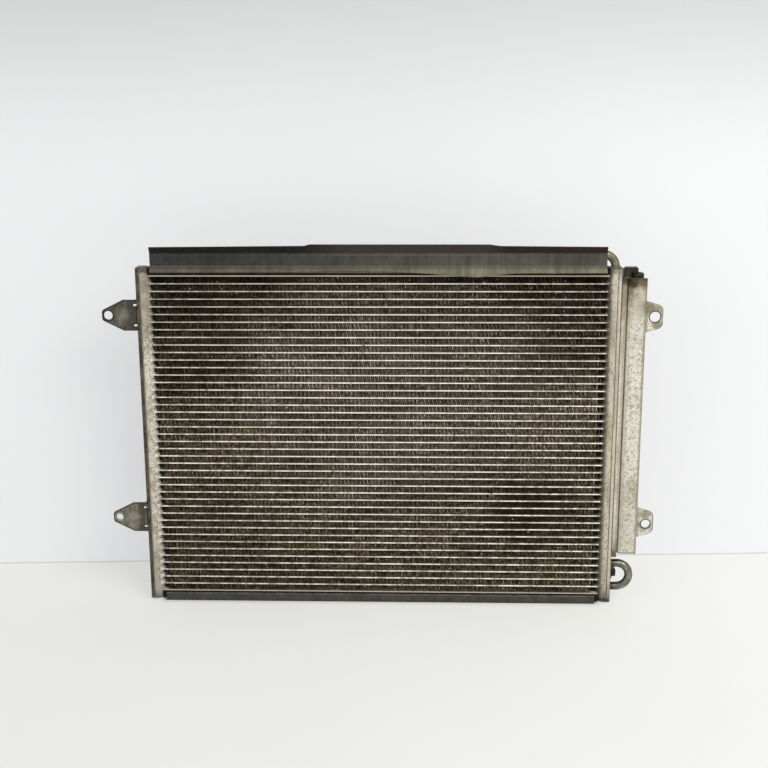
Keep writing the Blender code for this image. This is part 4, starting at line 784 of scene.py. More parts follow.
lip_colour = blend_colour(tree, raised, (0.0075, 0.0070, 0.0060), (0.036, 0.031, 0.027))
lip_colour = blend_colour(tree, past_raised, lip_colour, (0.021, 0.0125, 0.0105))
rust = mask_of(tree, STAINS, 60.0, 0.54, 0.10, (1.0, 1.0, 2.2))
rusty = times(tree, rust, graded(tree, raised, 0.12, 0.55))
lip_colour = blend_colour(tree, rusty, lip_colour, (0.050, 0.026, 0.021))
lip = mask_of(tree, BAND, ALONG_Z, LIP_Z, 1.0, 1.2 * MM, 0.5 * MM)
colour = blend_colour(tree, lip, wall_colour, lip_colour)
under_lip = mask_of(tree, BAND, ALONG_Z, LIP_Z - 3.0 * MM, LIP_Z - 1.6 * MM, 1.0 * MM, 0.6 * MM)
blush = times(tree, under_lip, graded(tree, raised, 0.1, 0.6))
colour = blend_colour(tree, blush, colour, (0.105, 0.084, 0.073))

# The lower skirt is paler: dust, and painted light where the skirt turns up.
upper_skirt = blend_colour(tree, rightward, (0.052, 0.048, 0.036), (0.090, 0.083, 0.057))
lower_skirt = blend_colour(tree, rightward, (0.098, 0.088, 0.068), (0.163, 0.149, 0.102))
sag = ramp(tree, place_along(tree, "Z"), SKIRT_TOP_Z - 1.0 * MM, SKIRT_TOP_Z - 4.6 * MM)
skirt_colour = tinted(tree, blend_colour(tree, sag, upper_skirt, lower_skirt), tone)
skirt = mask_of(tree, BAND, ALONG_Z, 0.0, SKIRT_TOP_Z, 0.5 * MM, 0.2 * MM)
colour = blend_colour(tree, skirt, colour, skirt_colour)
# A bright line along the skirt's fold: a painted highlight.
crease_highlight = mask_of(tree, BAND, ALONG_Z, SKIRT_TOP_Z - 0.5 * MM, SKIRT_TOP_Z, 0.5 * MM, 0.1 * MM)
for mark, strength, mark_colour in (
    (crease_highlight, 0.5, (0.15, 0.138, 0.10)),
    (mask_of(tree, WORN_AND_SHADED_EDGES, 0.5 * MM), 0.3, (0.13, 0.12, 0.09)),
    (grain["Specks"], 0.12, (0.15, 0.14, 0.11)),
):
    colour = marked(tree, colour, mark, strength, mark_colour)
surface = {"Roughness": graded(tree, smudges, 0.5, 0.66), "Specular IOR Level": 0.12}
surface["Normal"] = relief(tree, 0.25, 0.0003, grain["Height"])
shade_with(guide_finish, {"Base Color": colour, **surface})

# %% [markdown]
# The other dark parts are moulded plastic or rubber. They share a shorter recipe: soft clouds, worn
# edges and dust. The filter and the bag inside the receiver use it too, in paler colours.

# %% Moulded finishes
def dark_moulding(name, base, worn, dust, roughness=0.5, dust_colour=(0.30, 0.27, 0.20)):
    """Moulded material with rubbed edges and dust."""
    material, tree = new_material(name)
    clouds = mask_of(tree, STAINS, 90.0, 0.52, 0.15)
    grain = grain_of(tree, 1200.0, 300.0)
    colour = blend_colour(tree, clouds, base, tuple(value * 1.6 for value in base))
    colour = marked(tree, colour, grain["Specks"], 0.6, worn)
    rubbed = mask_of(tree, WORN_AND_SHADED_EDGES, 0.5 * MM)
    colour = marked(tree, colour, rubbed, 0.7, worn)
    colour = blend_colour(tree, mask_of(tree, SETTLED_DUST, dust), colour, dust_colour)
    surface = {"Roughness": graded(tree, clouds, roughness, roughness + 0.2)}
    surface["Normal"] = relief(tree, 0.2, 0.0002, grain["Height"])
    shade_with(material, {"Base Color": colour, "Specular IOR Level": 0.2, **surface})
    return material


strip_finish = dark_moulding(
    "lower air guide", (0.042, 0.038, 0.032), (0.15, 0.14, 0.115), 0.6, dust_colour=(0.17, 0.16, 0.14)
)
plastic_finish = dark_moulding("black plastic", (0.013, 0.0115, 0.009), (0.10, 0.09, 0.065), 0.25)
seal_finish = dark_moulding("seal rubber", (0.015, 0.015, 0.014), (0.05, 0.05, 0.045), 0.0)
nylon_finish = dark_moulding("filter nylon", (0.50, 0.49, 0.45), (0.62, 0.6, 0.55), 0.0)
felt_finish = dark_moulding("desiccant felt", (0.40, 0.37, 0.31), (0.55, 0.52, 0.45), 0.0, 0.75)
print("finishes in all:", len(bpy.data.materials))

# %% [markdown]
# Each new piece is made in the same few moves. A bmesh is shaped with operators and stored in a
# mesh. Its object stays at the origin, gets a material, rides on the model's one body, and hides
# the model's solids that it stands for.

# %% Helpers for pieces
SHARP_ANGLE = math.radians(32)
FLAT_ANGLE = math.radians(0.6)
SAME_PLACE = 1e-7
NEAR_PLACE = 1e-6


def stored(name, bm, material):
    """Store a bmesh in a mesh, and put an object that shows it in the scene."""
    mesh = bpy.data.meshes.new(name)
    bm.to_mesh(mesh)
    bm.free()
    mesh.materials.append(material)
    return add_object(name, mesh)


def finish_piece(name, bm, material, *nodes, slot=None):
    """Store a bmesh as a shown piece that replaces the named nodes."""
    piece = stored(name, bm, material)
    piece.data.shade_smooth()
    piece.data.set_sharp_from_angle(angle=SHARP_ANGLE)
    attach(piece, "root")
    if nodes:
        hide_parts(*nodes)
    return piece


def copy_of_node(node):
    """A bmesh of a model node's shape, with its loose triangles merged into clean faces."""
    bm = bmesh.new()
    bm.from_mesh(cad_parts[node].data)
    bmesh.ops.remove_doubles(bm, verts=bm.verts, dist=2e-6)
    bmesh.ops.dissolve_limit(
        bm, angle_limit=FLAT_ANGLE, verts=bm.verts, edges=bm.edges, use_dissolve_boundaries=False
    )
    return bm


def round_edges(bm, width, sharper_than=SHARP_ANGLE):
    """Bevel every edge that is sharper than an angle."""
    edges = [edge for edge in bm.edges if edge.is_manifold and edge.calc_face_angle(0.0) > sharper_than]
    bmesh.ops.bevel(
        bm, geom=edges, offset=width, segments=2, profile=0.5,
        affect="EDGES", clamp_overlap=True, material=-1,
    )


def softened(name, node, width, material, slot):
    """A copy of a node with rounded edges, as a piece that replaces it."""
    bm = copy_of_node(node)
    round_edges(bm, width)
    finish_piece(name, bm, material, node, slot=slot)


def outward(bm):
    """Make the normals agree, and point outwards where the skin is closed."""
    bmesh.ops.recalc_face_normals(bm, faces=bm.faces)


def turn_full(bm, geom, centre, axis, steps, merge_distance=SAME_PLACE):
    """Spin a profile right round an axis, and close it into a clean skin."""
    bmesh.ops.spin(
        bm, geom=geom, cent=centre, axis=axis, angle=2 * math.pi, steps=steps, use_merge=True
    )
    bmesh.ops.remove_doubles(bm, verts=bm.verts, dist=merge_distance)
    outward(bm)


def moved_verts(grown):
    """The vertices among what an operator made."""
    return [item for item in grown if isinstance(item, bmesh.types.BMVert)]


def dress(node, material):
    """Give a kept node a new material."""
    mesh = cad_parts[node].data
    mesh.materials.clear()
    mesh.materials.append(material)

# %% [markdown]
# A flat tube is drawn with half-round noses. One section is a circle that is squeezed flat, with
# its two halves pushed apart, and it is extruded along the core once. The other tubes are copies a
# pitch apart.

# %% Flat tubes
TUBE_HALF = 0.9 * MM
NOSE_SIDES = 16


def flat_section(bm, middle_z):
    """A closed flat-tube outline in the plane of the left tube ends."""
    ring = bmesh.ops.create_circle(bm, segments=NOSE_SIDES, radius=TUBE_HALF)["verts"]
    bmesh.ops.rotate(bm, verts=ring, matrix=Matrix.Rotation(math.pi / 2, 3, "Y"))
    spread = CORE_DEPTH / 2 - TUBE_HALF
    for vert in ring:
        vert.co.y += math.copysign(spread, vert.co.y) if abs(vert.co.y) > SAME_PLACE else 0.0
    bmesh.ops.translate(bm, verts=ring, vec=(MIDDLE_X - TUBE_END, CORE_MIDDLE_Y, middle_z))
    return ring


bm = bmesh.new()
ring = flat_section(bm, ROW_ZERO_Z + TUBE_PITCH)
outline = list({edge for vert in ring for edge in vert.link_edges})
grown = bmesh.ops.extrude_edge_only(bm, edges=outline)["geom"]
bmesh.ops.translate(bm, verts=moved_verts(grown), vec=(2 * TUBE_END, 0, 0))
bmesh.ops.holes_fill(bm, edges=bm.edges)
outward(bm)
first_tube = bm.verts[:] + bm.edges[:] + bm.faces[:]
for row in range(1, TUBE_COUNT):
    copied = bmesh.ops.duplicate(bm, geom=first_tube)["geom"]
    bmesh.ops.translate(bm, verts=moved_verts(copied), vec=(0, 0, row * TUBE_PITCH))
tubes = finish_piece("flat_tubes", bm, tube_finish, "tube_and_fin_core", slot="core_aluminium")
print("tubes:", TUBE_COUNT, "faces:", len(tubes.data.polygons))

# %% [markdown]
# A fin row is one long strip folded like a concertina. One fold is three vertices joined by two
# edges. Copies of it make the whole row, an extrusion gives it depth, and solidify gives the sheet
# its thickness. The front edges are then nudged, because no used condenser has all its fins
# straight.

# %% One row of fins
FIN_PITCH = FOLD_LENGTH / 2
FIN_SHEET = 0.20 * MM
FIN_STOP = 5.2 * MM
FIN_FRONT_Y = CORE_FRONT_Y + 0.8 * MM
FIN_DEPTH = CORE_DEPTH - 1.6 * MM
FIN_HALF = HEADER_INNER - FIN_STOP
FIN_HEIGHT = TUBE_PITCH - 2 * TUBE_HALF


def one_row():
    """A folded strip from the left to the right end, from z 0 to the fin height."""
    bm = bmesh.new()
    low = FIN_SHEET / 2
    high = FIN_HEIGHT - FIN_SHEET / 2
    left = MIDDLE_X - FIN_HALF
    verts = [
        bm.verts.new((left, FIN_FRONT_Y, low)),
        bm.verts.new((left + FIN_PITCH, FIN_FRONT_Y, high)),
        bm.verts.new((left + 2 * FIN_PITCH, FIN_FRONT_Y, low)),
    ]
    fold = verts + [bm.edges.new(verts[:2]), bm.edges.new(verts[1:])]
    folds = int(2 * FIN_HALF / (2 * FIN_PITCH))
    for step in range(1, folds):
        copied = bmesh.ops.duplicate(bm, geom=fold)["geom"]
        bmesh.ops.translate(bm, verts=moved_verts(copied), vec=(step * 2 * FIN_PITCH, 0, 0))
    bmesh.ops.remove_doubles(bm, verts=bm.verts, dist=NEAR_PLACE)
    grown = bmesh.ops.extrude_edge_only(bm, edges=bm.edges[:])["geom"]
    bmesh.ops.translate(bm, verts=moved_verts(grown), vec=(0, FIN_DEPTH, 0))
    outward(bm)
    bmesh.ops.solidify(bm, geom=bm.faces[:], thickness=FIN_SHEET)
    outward(bm)
    return bm, folds


row_mesh, folds = one_row()
row_data = bpy.data.meshes.new("one_fin_row")
row_mesh.to_mesh(row_data)
row_mesh.free()
print("folds in a row:", folds, "faces:", len(row_data.polygons))

# %% [markdown]
# Rows are gathered in four banks, so that no piece gets too heavy. Each row is bent a little in its
# own way by a smooth noise, and only at the front and back, where stones and a pressure washer
# reach.

# %% Banks of fins
BANKS = 4
OPEN_EDGE = 0.5 * MM
DENT_FLOOR = 0.33
CORE_SLOT = {"slot": "core_aluminium"}


def bend_fins(verts, seed):
    """Push the fins' open edges sideways by a fine, a wide and a dented noise."""
    for vert in verts:
        if abs(vert.co.y - CORE_MIDDLE_Y) > FIN_DEPTH / 2 - OPEN_EDGE:
            across_x, _, rise_z = vert.co
            fine = noise.noise(Vector((across_x * 90, seed * 3.7, rise_z * 160)))
            wide = noise.noise(Vector((across_x * 14, seed * 1.9, 4.0)))
            dent = noise.noise(Vector((across_x * 38, seed * 0.45, 9.0)))
            dent = math.copysign(max(abs(dent) - DENT_FLOOR, 0.0), dent)
            vert.co.x += MM * (0.34 * fine + 0.30 * wide + 1.3 * dent)


for bank in range(BANKS):
    bm = bmesh.new()
    for row in range(bank, TUBE_COUNT + 1, BANKS):
        start = len(bm.verts)
        bm.from_mesh(row_data)
        bm.verts.ensure_lookup_table()
        new_verts = bm.verts[start:]
        bend_fins(new_verts, row)
        bottom = ROW_ZERO_Z + row * TUBE_PITCH + TUBE_HALF
        bmesh.ops.translate(bm, verts=new_verts, vec=(0, 0, bottom))
    piece = finish_piece(f"fin_bank_{bank + 1}", bm, fin_finish, "tube_and_fin_core", **CORE_SLOT)
    print(piece.name, "faces:", len(piece.data.polygons))

bm = bmesh.new()
louvre = Matrix.Diagonal((2 * HEADER_INNER + 1.0 * MM, 0.3 * MM, FIN_HEIGHT - 0.2 * MM, 1.0))
for row in range(TUBE_COUNT + 1):
    middle = Vector((MIDDLE_X, CORE_MIDDLE_Y, ROW_ZERO_Z + (row + 0.5) * TUBE_PITCH))
    bmesh.ops.create_cube(bm, size=1.0, matrix=Matrix.Translation(middle) @ louvre)
finish_piece("louvre_bank", bm, louvre_finish, "tube_and_fin_core", **CORE_SLOT)

# %% [markdown]
# The last fin of a row is rarely straight: it was cut there, and it curls towards the header. Each
# one is a short upright grid that is bowed by its own random amount, then given a thickness.

# %% Curled fin ends and grit
CURLED_SHARE = 0.35
CURL_WIDTH = 3.0 * MM
CURL_SHEET = 0.22 * MM
CRUMBS = 480
chance = random.Random(7)
upright = Matrix.Rotation(math.pi / 2, 4, "Z") @ Matrix.Rotation(math.pi / 2, 4, "X")
bm = bmesh.new()
for row in range(TUBE_COUNT + 1):
    middle_z = ROW_ZERO_Z + (row + 0.5) * TUBE_PITCH
    for side in (-1, 1):
        bow = chance.uniform(-0.3, 1.7) * MM
        lean = chance.uniform(-0.6, 0.6) * MM
        if chance.random() > CURLED_SHARE:
            continue
        grown = bmesh.ops.create_grid(bm, x_segments=1, y_segments=6, size=0.5)["verts"]
        bmesh.ops.scale(bm, verts=grown, vec=(CURL_WIDTH, FIN_HEIGHT - 0.3 * MM, 1.0))
        bmesh.ops.transform(bm, matrix=upright, verts=grown)
        for vert in grown:
            level = 2 * vert.co.z / FIN_HEIGHT
            vert.co.x = side * (bow * (1 - level * level) + lean * level)
        place = Vector((MIDDLE_X + side * (FIN_HALF + 0.6 * MM), FIN_FRONT_Y + 1.6 * MM, middle_z))
        bmesh.ops.translate(bm, verts=grown, vec=place)
bmesh.ops.solidify(bm, geom=bm.faces[:], thickness=CURL_SHEET)
outward(bm)
finish_piece("curled_fin_ends", bm, bent_finish, "tube_and_fin_core", **CORE_SLOT)

bm = bmesh.new()
for crumb in range(CRUMBS):
    row = chance.randrange(TUBE_COUNT + 1)
    middle_z = ROW_ZERO_Z + (row + chance.uniform(0.15, 0.85)) * TUBE_PITCH
    across_x = MIDDLE_X + chance.triangular(-FIN_HALF, FIN_HALF, MIDDLE_X) * 0.98
    radius = chance.uniform(0.3, 0.75) * MM
    grown = bmesh.ops.create_icosphere(bm, subdivisions=1, radius=radius)["verts"]
    squash = Matrix.Diagonal((1.0, 0.6, chance.uniform(0.6, 1.5), 1.0))
    turned = Matrix.Rotation(chance.uniform(0, math.pi), 4, "Y") @ squash
    place = Vector((across_x, FIN_FRONT_Y + chance.uniform(-0.3, 0.2) * MM, middle_z))
    bmesh.ops.transform(bm, matrix=Matrix.Translation(place) @ turned, verts=grown)
grit = finish_piece("trapped_grit", bm, left_collar_finish, **CORE_SLOT)
print("grit faces:", len(grit.data.polygons))

# %% [markdown]
# A header plate is a half-round sheet. Its outline is spun round the header's axis, given short
# straight legs, extruded upwards and thickened inwards. The right one is the left one mirrored.

# %% Header plates
HEADER_WALL = 1.6 * MM
ARC_STEPS = 28
SHEET_EASE = 0.35 * MM
PLATE_BOTTOM = plate_low.z
PLATE_HEIGHT = plate_high.z - plate_low.z


def header_plate(side):
    """The half-round plate of one header, at the left with side -1 and the right with +1."""
    bm = bmesh.new()
    axis = Vector((MIDDLE_X + side * HEADER_AXIS, CORE_MIDDLE_Y, PLATE_BOTTOM))
    first = bm.verts.new(axis + Vector((0, -HEADER_RADIUS, 0)))
    half_turn = {"angle": -side * math.pi, "steps": ARC_STEPS, "use_merge": False}
    spun = bmesh.ops.spin(bm, geom=[first], cent=axis, axis=(0, 0, 1), **half_turn)
    last = moved_verts(spun["geom_last"])[0]
    for end in (first, last):
        leg = bmesh.ops.extrude_vert_indiv(bm, verts=[end])["verts"]
        bmesh.ops.translate(bm, verts=leg, vec=(side * (HEADER_SEAM - HEADER_AXIS), 0, 0))
    grown = bmesh.ops.extrude_edge_only(bm, edges=bm.edges[:])["geom"]
    bmesh.ops.translate(bm, verts=moved_verts(grown), vec=(0, 0, PLATE_HEIGHT))
    outward(bm)
    inward = Vector((side, 0, 0))
    crown = min(bm.faces, key=lambda face: side * face.calc_center_median().x)
    if crown.normal.dot(inward) > 0:
        bmesh.ops.reverse_faces(bm, faces=bm.faces[:])
    bmesh.ops.solidify(bm, geom=bm.faces[:], thickness=HEADER_WALL)
    outward(bm)
    return bm


for name, side, material in (
    ("left_header_plate", -1, left_plate_finish), ("right_header_plate", 1, right_plate_finish)
):
    bm = header_plate(side)
    round_edges(bm, SHEET_EASE)
    shell = finish_piece(name + "_shell", bm, material, name, slot="bare_aluminium")
    print(shell.name, "width in mm:", round(shell.dimensions.x / MM, 2))

# %% [markdown]
# Where a tube enters the plate, the braze draws up a small collar round the slot. It follows the
# plate's curve, so a low hump of a profile is spun partly round the header's axis, once for each
# tube. From the front the collars scallop the plate's inner edge.

# %% Braze collars
COLLAR_RISE = 2.0 * MM
COLLAR_HALF = 2.7 * MM
COLLAR_ARC = math.radians(112)
COLLAR_TOP = TUBE_HALF + 0.1 * MM
HALF_PROFILE = (
    (HEADER_RADIUS - 0.5 * MM, COLLAR_HALF),
    (HEADER_RADIUS + 0.1 * MM, COLLAR_HALF),
    (HEADER_RADIUS + 0.45 * COLLAR_RISE, 0.62 * COLLAR_HALF),
    (HEADER_RADIUS + COLLAR_RISE, COLLAR_TOP),
)


def add_collar(bm, side, height):
    """A raised band across the plate's curve at one tube."""
    axis = Vector((MIDDLE_X + side * HEADER_AXIS, CORE_MIDDLE_Y, height))
    profile = [(radius, -rise) for radius, rise in HALF_PROFILE] + list(reversed(HALF_PROFILE))
    verts = [bm.verts.new(axis + Vector((-side * radius, 0, rise))) for radius, rise in profile]
    face = bm.faces.new(verts)
    bmesh.ops.rotate(bm, verts=verts, cent=axis, matrix=Matrix.Rotation(-COLLAR_ARC / 2, 3, "Z"))
    bmesh.ops.spin(
        bm, geom=[face], cent=axis, axis=(0, 0, 1), angle=COLLAR_ARC, steps=12, use_merge=False
    )


for name, side, material in (("left", -1, left_collar_finish), ("right", 1, right_plate_finish)):
    bm = bmesh.new()
    for row in range(1, TUBE_COUNT + 1):
        add_collar(bm, side, ROW_ZERO_Z + row * TUBE_PITCH)
    outward(bm)
    collars = finish_piece(name + "_braze_collars", bm, material, slot="bare_aluminium")
    print(collars.name, "faces:", len(collars.data.polygons))

# %% [markdown]
# The tanks are extruded with crisp corners, so the model's own shape is right and only needs its
# edges eased. The same goes for many small parts: a copy of the node, rounded by a bevel.

# %% Tanks, side plates and small parts
for name, node, ease, material, slot in (
    ("left_tank_wall", "left_tank", 0.35, left_tank_shade_finish, "oxidised_aluminium"),
    ("right_tank_wall", "right_tank", 0.35, right_tank_finish, "oxidised_aluminium"),
    ("top_channel", "top_side_plate", 0.25, side_plate_shade_and_highlight, "oxidised_aluminium"),
    ("bottom_channel", "bottom_side_plate", 0.25, side_plate_shade_and_highlight, "oxidised_aluminium"),
    ("lug_body", "tank_lug", 0.5, plastic_finish, "black_plastic"),
    ("clip_body", "receiver_clip", 0.6, plastic_finish, "black_plastic"),
    ("hot_gas_block", "inlet_block", 0.7, block_finish, "bare_aluminium"),
    ("liquid_block", "outlet_block", 0.7, block_finish, "bare_aluminium"),
    ("bottle_upper_block", "receiver_inlet_block", 0.4, block_finish, "oxidised_aluminium"),
    ("bottle_lower_block", "receiver_outlet_block", 0.4, block_finish, "oxidised_aluminium"),
    ("bracket_plate", "receiver_bracket", 0.45, bracket_finish, "bare_aluminium"),
    ("lower_strip", "lower_air_guide", 0.4, strip_finish, "grey_rubber"),
    ("left_top_cap_body", "left_top_cap", 0.3, cap_finish, "bare_aluminium"),
    ("left_bottom_cap_body", "left_bottom_cap", 0.3, cap_finish, "bare_aluminium"),
    ("right_top_cap_body", "right_top_cap", 0.3, cap_finish, "bare_aluminium"),
    ("right_bottom_cap_body", "right_bottom_cap", 0.3, cap_finish, "bare_aluminium"),
):
    softened(name, node, ease * MM, material, slot)
for node in ("left_baffle", "right_upper_baffle", "right_middle_baffle", "right_lower_baffle"):
    dress(node, side_plate_shade_and_highlight)
dress("plug_seal_ring", seal_finish)
dress("receiver_filter", nylon_finish)
dress("desiccant_bag", felt_finish)

# %% [markdown]
# The left ears are pressed sheet with a raised rim. The front of a copy is inset, its middle sinks
# a little, and the rim takes a near-black finish, a painted shade along the folded edge. A thin ring
# lies round each hole. On the lower left ear it is pale, where the washer of a bolt rubbed; the
# others take the rims' near-black finish, a painted shade round the hole. The ring is a small
# profile that is spun about the hole's axis.

# %% Ears and rings
RIM_WIDTH = 1.2 * MM
RIM_DEPTH = 0.3 * MM
RING_RISE = 0.35 * MM


def rimmed_ear(name, node, material):
    """A left ear whose front has a raised rim, darkened as painted shade."""
    bm = copy_of_node(node)
    front_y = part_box(node)[0].y
    front = [
        face for face in bm.faces
        if face.normal.y < -0.9 and face.calc_center_median().y < front_y + RIM_DEPTH
    ]
    rim = bmesh.ops.inset_region(
        bm, faces=front, thickness=RIM_WIDTH, depth=-RIM_DEPTH, use_boundary=True, use_even_offset=True
    )["faces"]
    for face in rim:
        face.material_index = 1
    round_edges(bm, 0.4 * MM)
    piece = finish_piece(name, bm, material, node, slot="dark_aluminium")
    piece.data.materials.append(ear_rim_finish)
    return piece


def hole_ring(name, centre, radius, width, material):
    """A low ring round a hole whose axis lies along y."""
    bm = bmesh.new()
    rooted = RIM_DEPTH + 0.1 * MM
    profile = [
        (radius, rooted), (radius, 0.15 * MM - RING_RISE), (radius + 0.15 * MM, -RING_RISE),
        (radius + width - 0.3 * MM, -RING_RISE), (radius + width, 0.1 * MM - RING_RISE / 2),
        (radius + width, rooted),
    ]
    verts = [bm.verts.new(centre + Vector((reach, depth, 0))) for reach, depth in profile]
    edges = [bm.edges.new((verts[i - 1], verts[i])) for i in range(len(verts))]
    turn_full(bm, verts + edges, centre, ALONG_Y, 36)
    finish_piece(name, bm, material, slot="dark_aluminium")


LEFT_HOLE_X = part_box("left_upper_ear")[0].x + 7.8 * MM
for level, height, radius, finish, ring_finish in (
    ("upper", 359.8, 5.5, upper_ear_finish, ear_rim_finish),
    ("lower", 98.8, 4.4, lower_ear_finish, bare_ring_finish),
):
    ear = rimmed_ear(f"left_{level}_ear_plate", f"left_{level}_ear", finish)
    middle = Vector((LEFT_HOLE_X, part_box(f"left_{level}_ear")[0].y, ROW_ZERO_Z + height * MM))
    hole_ring(f"left_{level}_ear_ring", middle, radius * MM, 1.7 * MM, ring_finish)
    print(ear.name, "faces:", len(ear.data.polygons))
for level, height, radius in (("upper", 359.3, 6.5), ("lower", 95.45, 5.6)):
    middle = Vector((EAR_HOLE_X, bracket_low.y, ROW_ZERO_Z + height * MM))
    hole_ring(f"right_{level}_ear_ring", middle, radius * MM, 1.1 * MM, ear_rim_finish)

# %% [markdown]
# Above its channel the rail's front wall runs on as a narrow tongue, up to the header's top, as the
# real one does beside the clip. A cube is scaled and rounded for it, and it starts inside the wall.

# %% Rail
RAIL_SHEET = 1.5 * MM
TONGUE_OVERLAP = 1.0 * MM
TONGUE_EASE = 0.05 * MM
TONGUE_WIDER = 4.4 * MM
softened("rail_channel", "bracket_rail", 0.4 * MM, rail_finish, slot="oxidised_aluminium")
tongue_low = Vector((rail_low.x, rail_low.y + TONGUE_EASE, rail_high.z - TONGUE_OVERLAP))
tongue_high = Vector((rail_high.x + TONGUE_WIDER, rail_low.y + RAIL_SHEET - TONGUE_EASE, TOP_Z))
bm = bmesh.new()
size = Matrix.Diagonal((*(tongue_high - tongue_low), 1.0))
placed = Matrix.Translation((tongue_low + tongue_high) / 2) @ size
bmesh.ops.create_cube(bm, size=1.0, matrix=placed)
round_edges(bm, 0.3 * MM)
tongue = finish_piece("rail_tongue", bm, ear_rim_finish, slot="oxidised_aluminium")
print("tongue height in mm:", round(tongue.dimensions.z / MM, 1))

# %% [markdown]
# A pipe is a ring swept along its route. The ring is extruded for the straight runs and spun for
# the bend, then the open wall is closed by bridging an inner tube to the outer one at both ends.

# %% Pipes
PIPE_RADIUS = 5.1 * MM
PIPE_WALL = 1.1 * MM
PIPE_SIDES = 32
BEND_STEPS = 18


def swept_pipe(radius, start, first_run, pivot, angle, last_run):
    """One skin of a bent pipe: a straight run, a bend about an axis along y, a straight run."""
    bm = bmesh.new()
    ring = bmesh.ops.create_circle(bm, segments=PIPE_SIDES, radius=radius)["verts"]
    aim = first_run.to_track_quat("Z", "Y").to_matrix().to_4x4()
    bmesh.ops.transform(bm, matrix=Matrix.Translation(start) @ aim, verts=ring)
    grown = bmesh.ops.extrude_edge_only(bm, edges=bm.edges[:])["geom"]
    bmesh.ops.translate(bm, verts=moved_verts(grown), vec=first_run)
    bend = [item for item in grown if not isinstance(item, bmesh.types.BMFace)]
    spun = bmesh.ops.spin(
        bm, geom=bend, cent=pivot, axis=ALONG_Y, angle=angle, steps=BEND_STEPS, use_merge=False
    )
    end_loop = [item for item in spun["geom_last"] if isinstance(item, bmesh.types.BMEdge)]
    grown = bmesh.ops.extrude_edge_only(bm, edges=end_loop)["geom"]
    bmesh.ops.translate(bm, verts=moved_verts(grown), vec=last_run)
    return bm


def pipe_piece(name, node, material, slot, *route):
    """A hollow pipe: two skins joined at their ends. The route is a start, a first run, the bend's
    pivot and angle, and a last run."""
    start = route[0]
    outer = swept_pipe(PIPE_RADIUS, *route)
    inner = swept_pipe(PIPE_RADIUS - PIPE_WALL, *route)
    skin = bpy.data.meshes.new(name + "_inner")
    inner.to_mesh(skin)
    inner.free()
    outer.from_mesh(skin)
    rims = [edge for edge in outer.edges if edge.is_boundary]
    near = [edge for edge in rims if (edge.verts[0].co - start).length < 2 * PIPE_RADIUS]
    bmesh.ops.bridge_loops(outer, edges=near)
    bmesh.ops.bridge_loops(outer, edges=[edge for edge in rims if edge.is_boundary])
    outward(outer)
    finish_piece(name, outer, material, node, slot=slot)


inlet_low, inlet_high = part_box("inlet_pipe")
inlet_x = inlet_high.x - PIPE_RADIUS
inlet_axis_z = inlet_high.z - PIPE_RADIUS
INLET_BEND = 15.0 * MM
bend_z = inlet_axis_z - INLET_BEND
pipe_piece(
    "inlet_elbow", "inlet_pipe", inlet_finish, "oxidised_aluminium",
    Vector((inlet_x, CORE_MIDDLE_Y, inlet_low.z)),
    Vector((0, 0, bend_z - inlet_low.z)),
    Vector((inlet_x - INLET_BEND, CORE_MIDDLE_Y, bend_z)),
    -math.pi / 2,
    Vector((inlet_low.x - inlet_x + INLET_BEND, 0, 0)),
)

cross_bend = (crossover_high.z - crossover_low.z) / 2 - PIPE_RADIUS
cross_x = crossover_high.x - PIPE_RADIUS - cross_bend
cross_top = crossover_high.z - PIPE_RADIUS
cross_run = Vector((cross_x - crossover_low.x, 0, 0))
pipe_piece(
    "crossover_bend", "crossover_pipe", crossover_finish, "dark_aluminium",
    Vector((crossover_low.x, CORE_MIDDLE_Y, cross_top)),
    cross_run,
    Vector((cross_x, CORE_MIDDLE_Y, cross_top - cross_bend)),
    math.pi,
    -cross_run,
)
print("pipe bends in mm:", INLET_BEND / MM, round(cross_bend / MM, 1))

# %% [markdown]
# Where a pipe enters a header, filler metal forms a low ring. A small circle spun about the pipe's
# axis makes each ring.

# %% Braze rings on the pipes
BEAD = 0.7 * MM
UPWARDS, RIGHTWARDS = Vector((0, 0, 1)), Vector((1, 0, 0))
tank_face = MIDDLE_X + TANK_OUTER


def braze_ring(name, middle, direction, material):
    """A thin ring of filler metal round a pipe."""
    bm = bmesh.new()
    turn = direction.to_track_quat("Z", "Y").to_matrix().to_4x4()
    section = bmesh.ops.create_circle(bm, segments=10, radius=BEAD)["verts"]
    bmesh.ops.rotate(bm, verts=section, matrix=Matrix.Rotation(math.pi / 2, 3, "X"))
    bmesh.ops.translate(bm, verts=section, vec=(PIPE_RADIUS, 0, 0))
    turn_full(bm, bm.verts[:] + bm.edges[:], (0, 0, 0), ALONG_Z, 40)
    bmesh.ops.transform(bm, matrix=Matrix.Translation(middle) @ turn, verts=bm.verts)
    finish_piece(name, bm, material)


braze_ring("inlet_braze", Vector((inlet_x, CORE_MIDDLE_Y, cap_high.z)), UPWARDS, cap_finish)
for label, height in (("upper", cross_top), ("lower", crossover_low.z + PIPE_RADIUS)):
    middle = Vector((tank_face, CORE_MIDDLE_Y, height))
    braze_ring(f"crossover_{label}_braze", middle, RIGHTWARDS, crossover_finish)

# %% [markdown]
# The receiver is a spun bottle. Its profile is a line of vertices that turns about the upright
# axis, with a rounded foot, a rolled neck and two weld seams.

# %% Receiver bottle and plug
bottle_low, bottle_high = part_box("receiver_bottle")
BOTTLE_X = (bottle_low.x + bottle_high.x) / 2
BOTTLE_Y = (bottle_low.y + bottle_high.y) / 2
BOTTLE_RADIUS = (bottle_high.x - bottle_low.x) / 2
WALL_RADIUS = BOTTLE_RADIUS - 0.35 * MM
FOOT_CORNER = 2 * MM
NECK_CORNER = 1.6 * MM


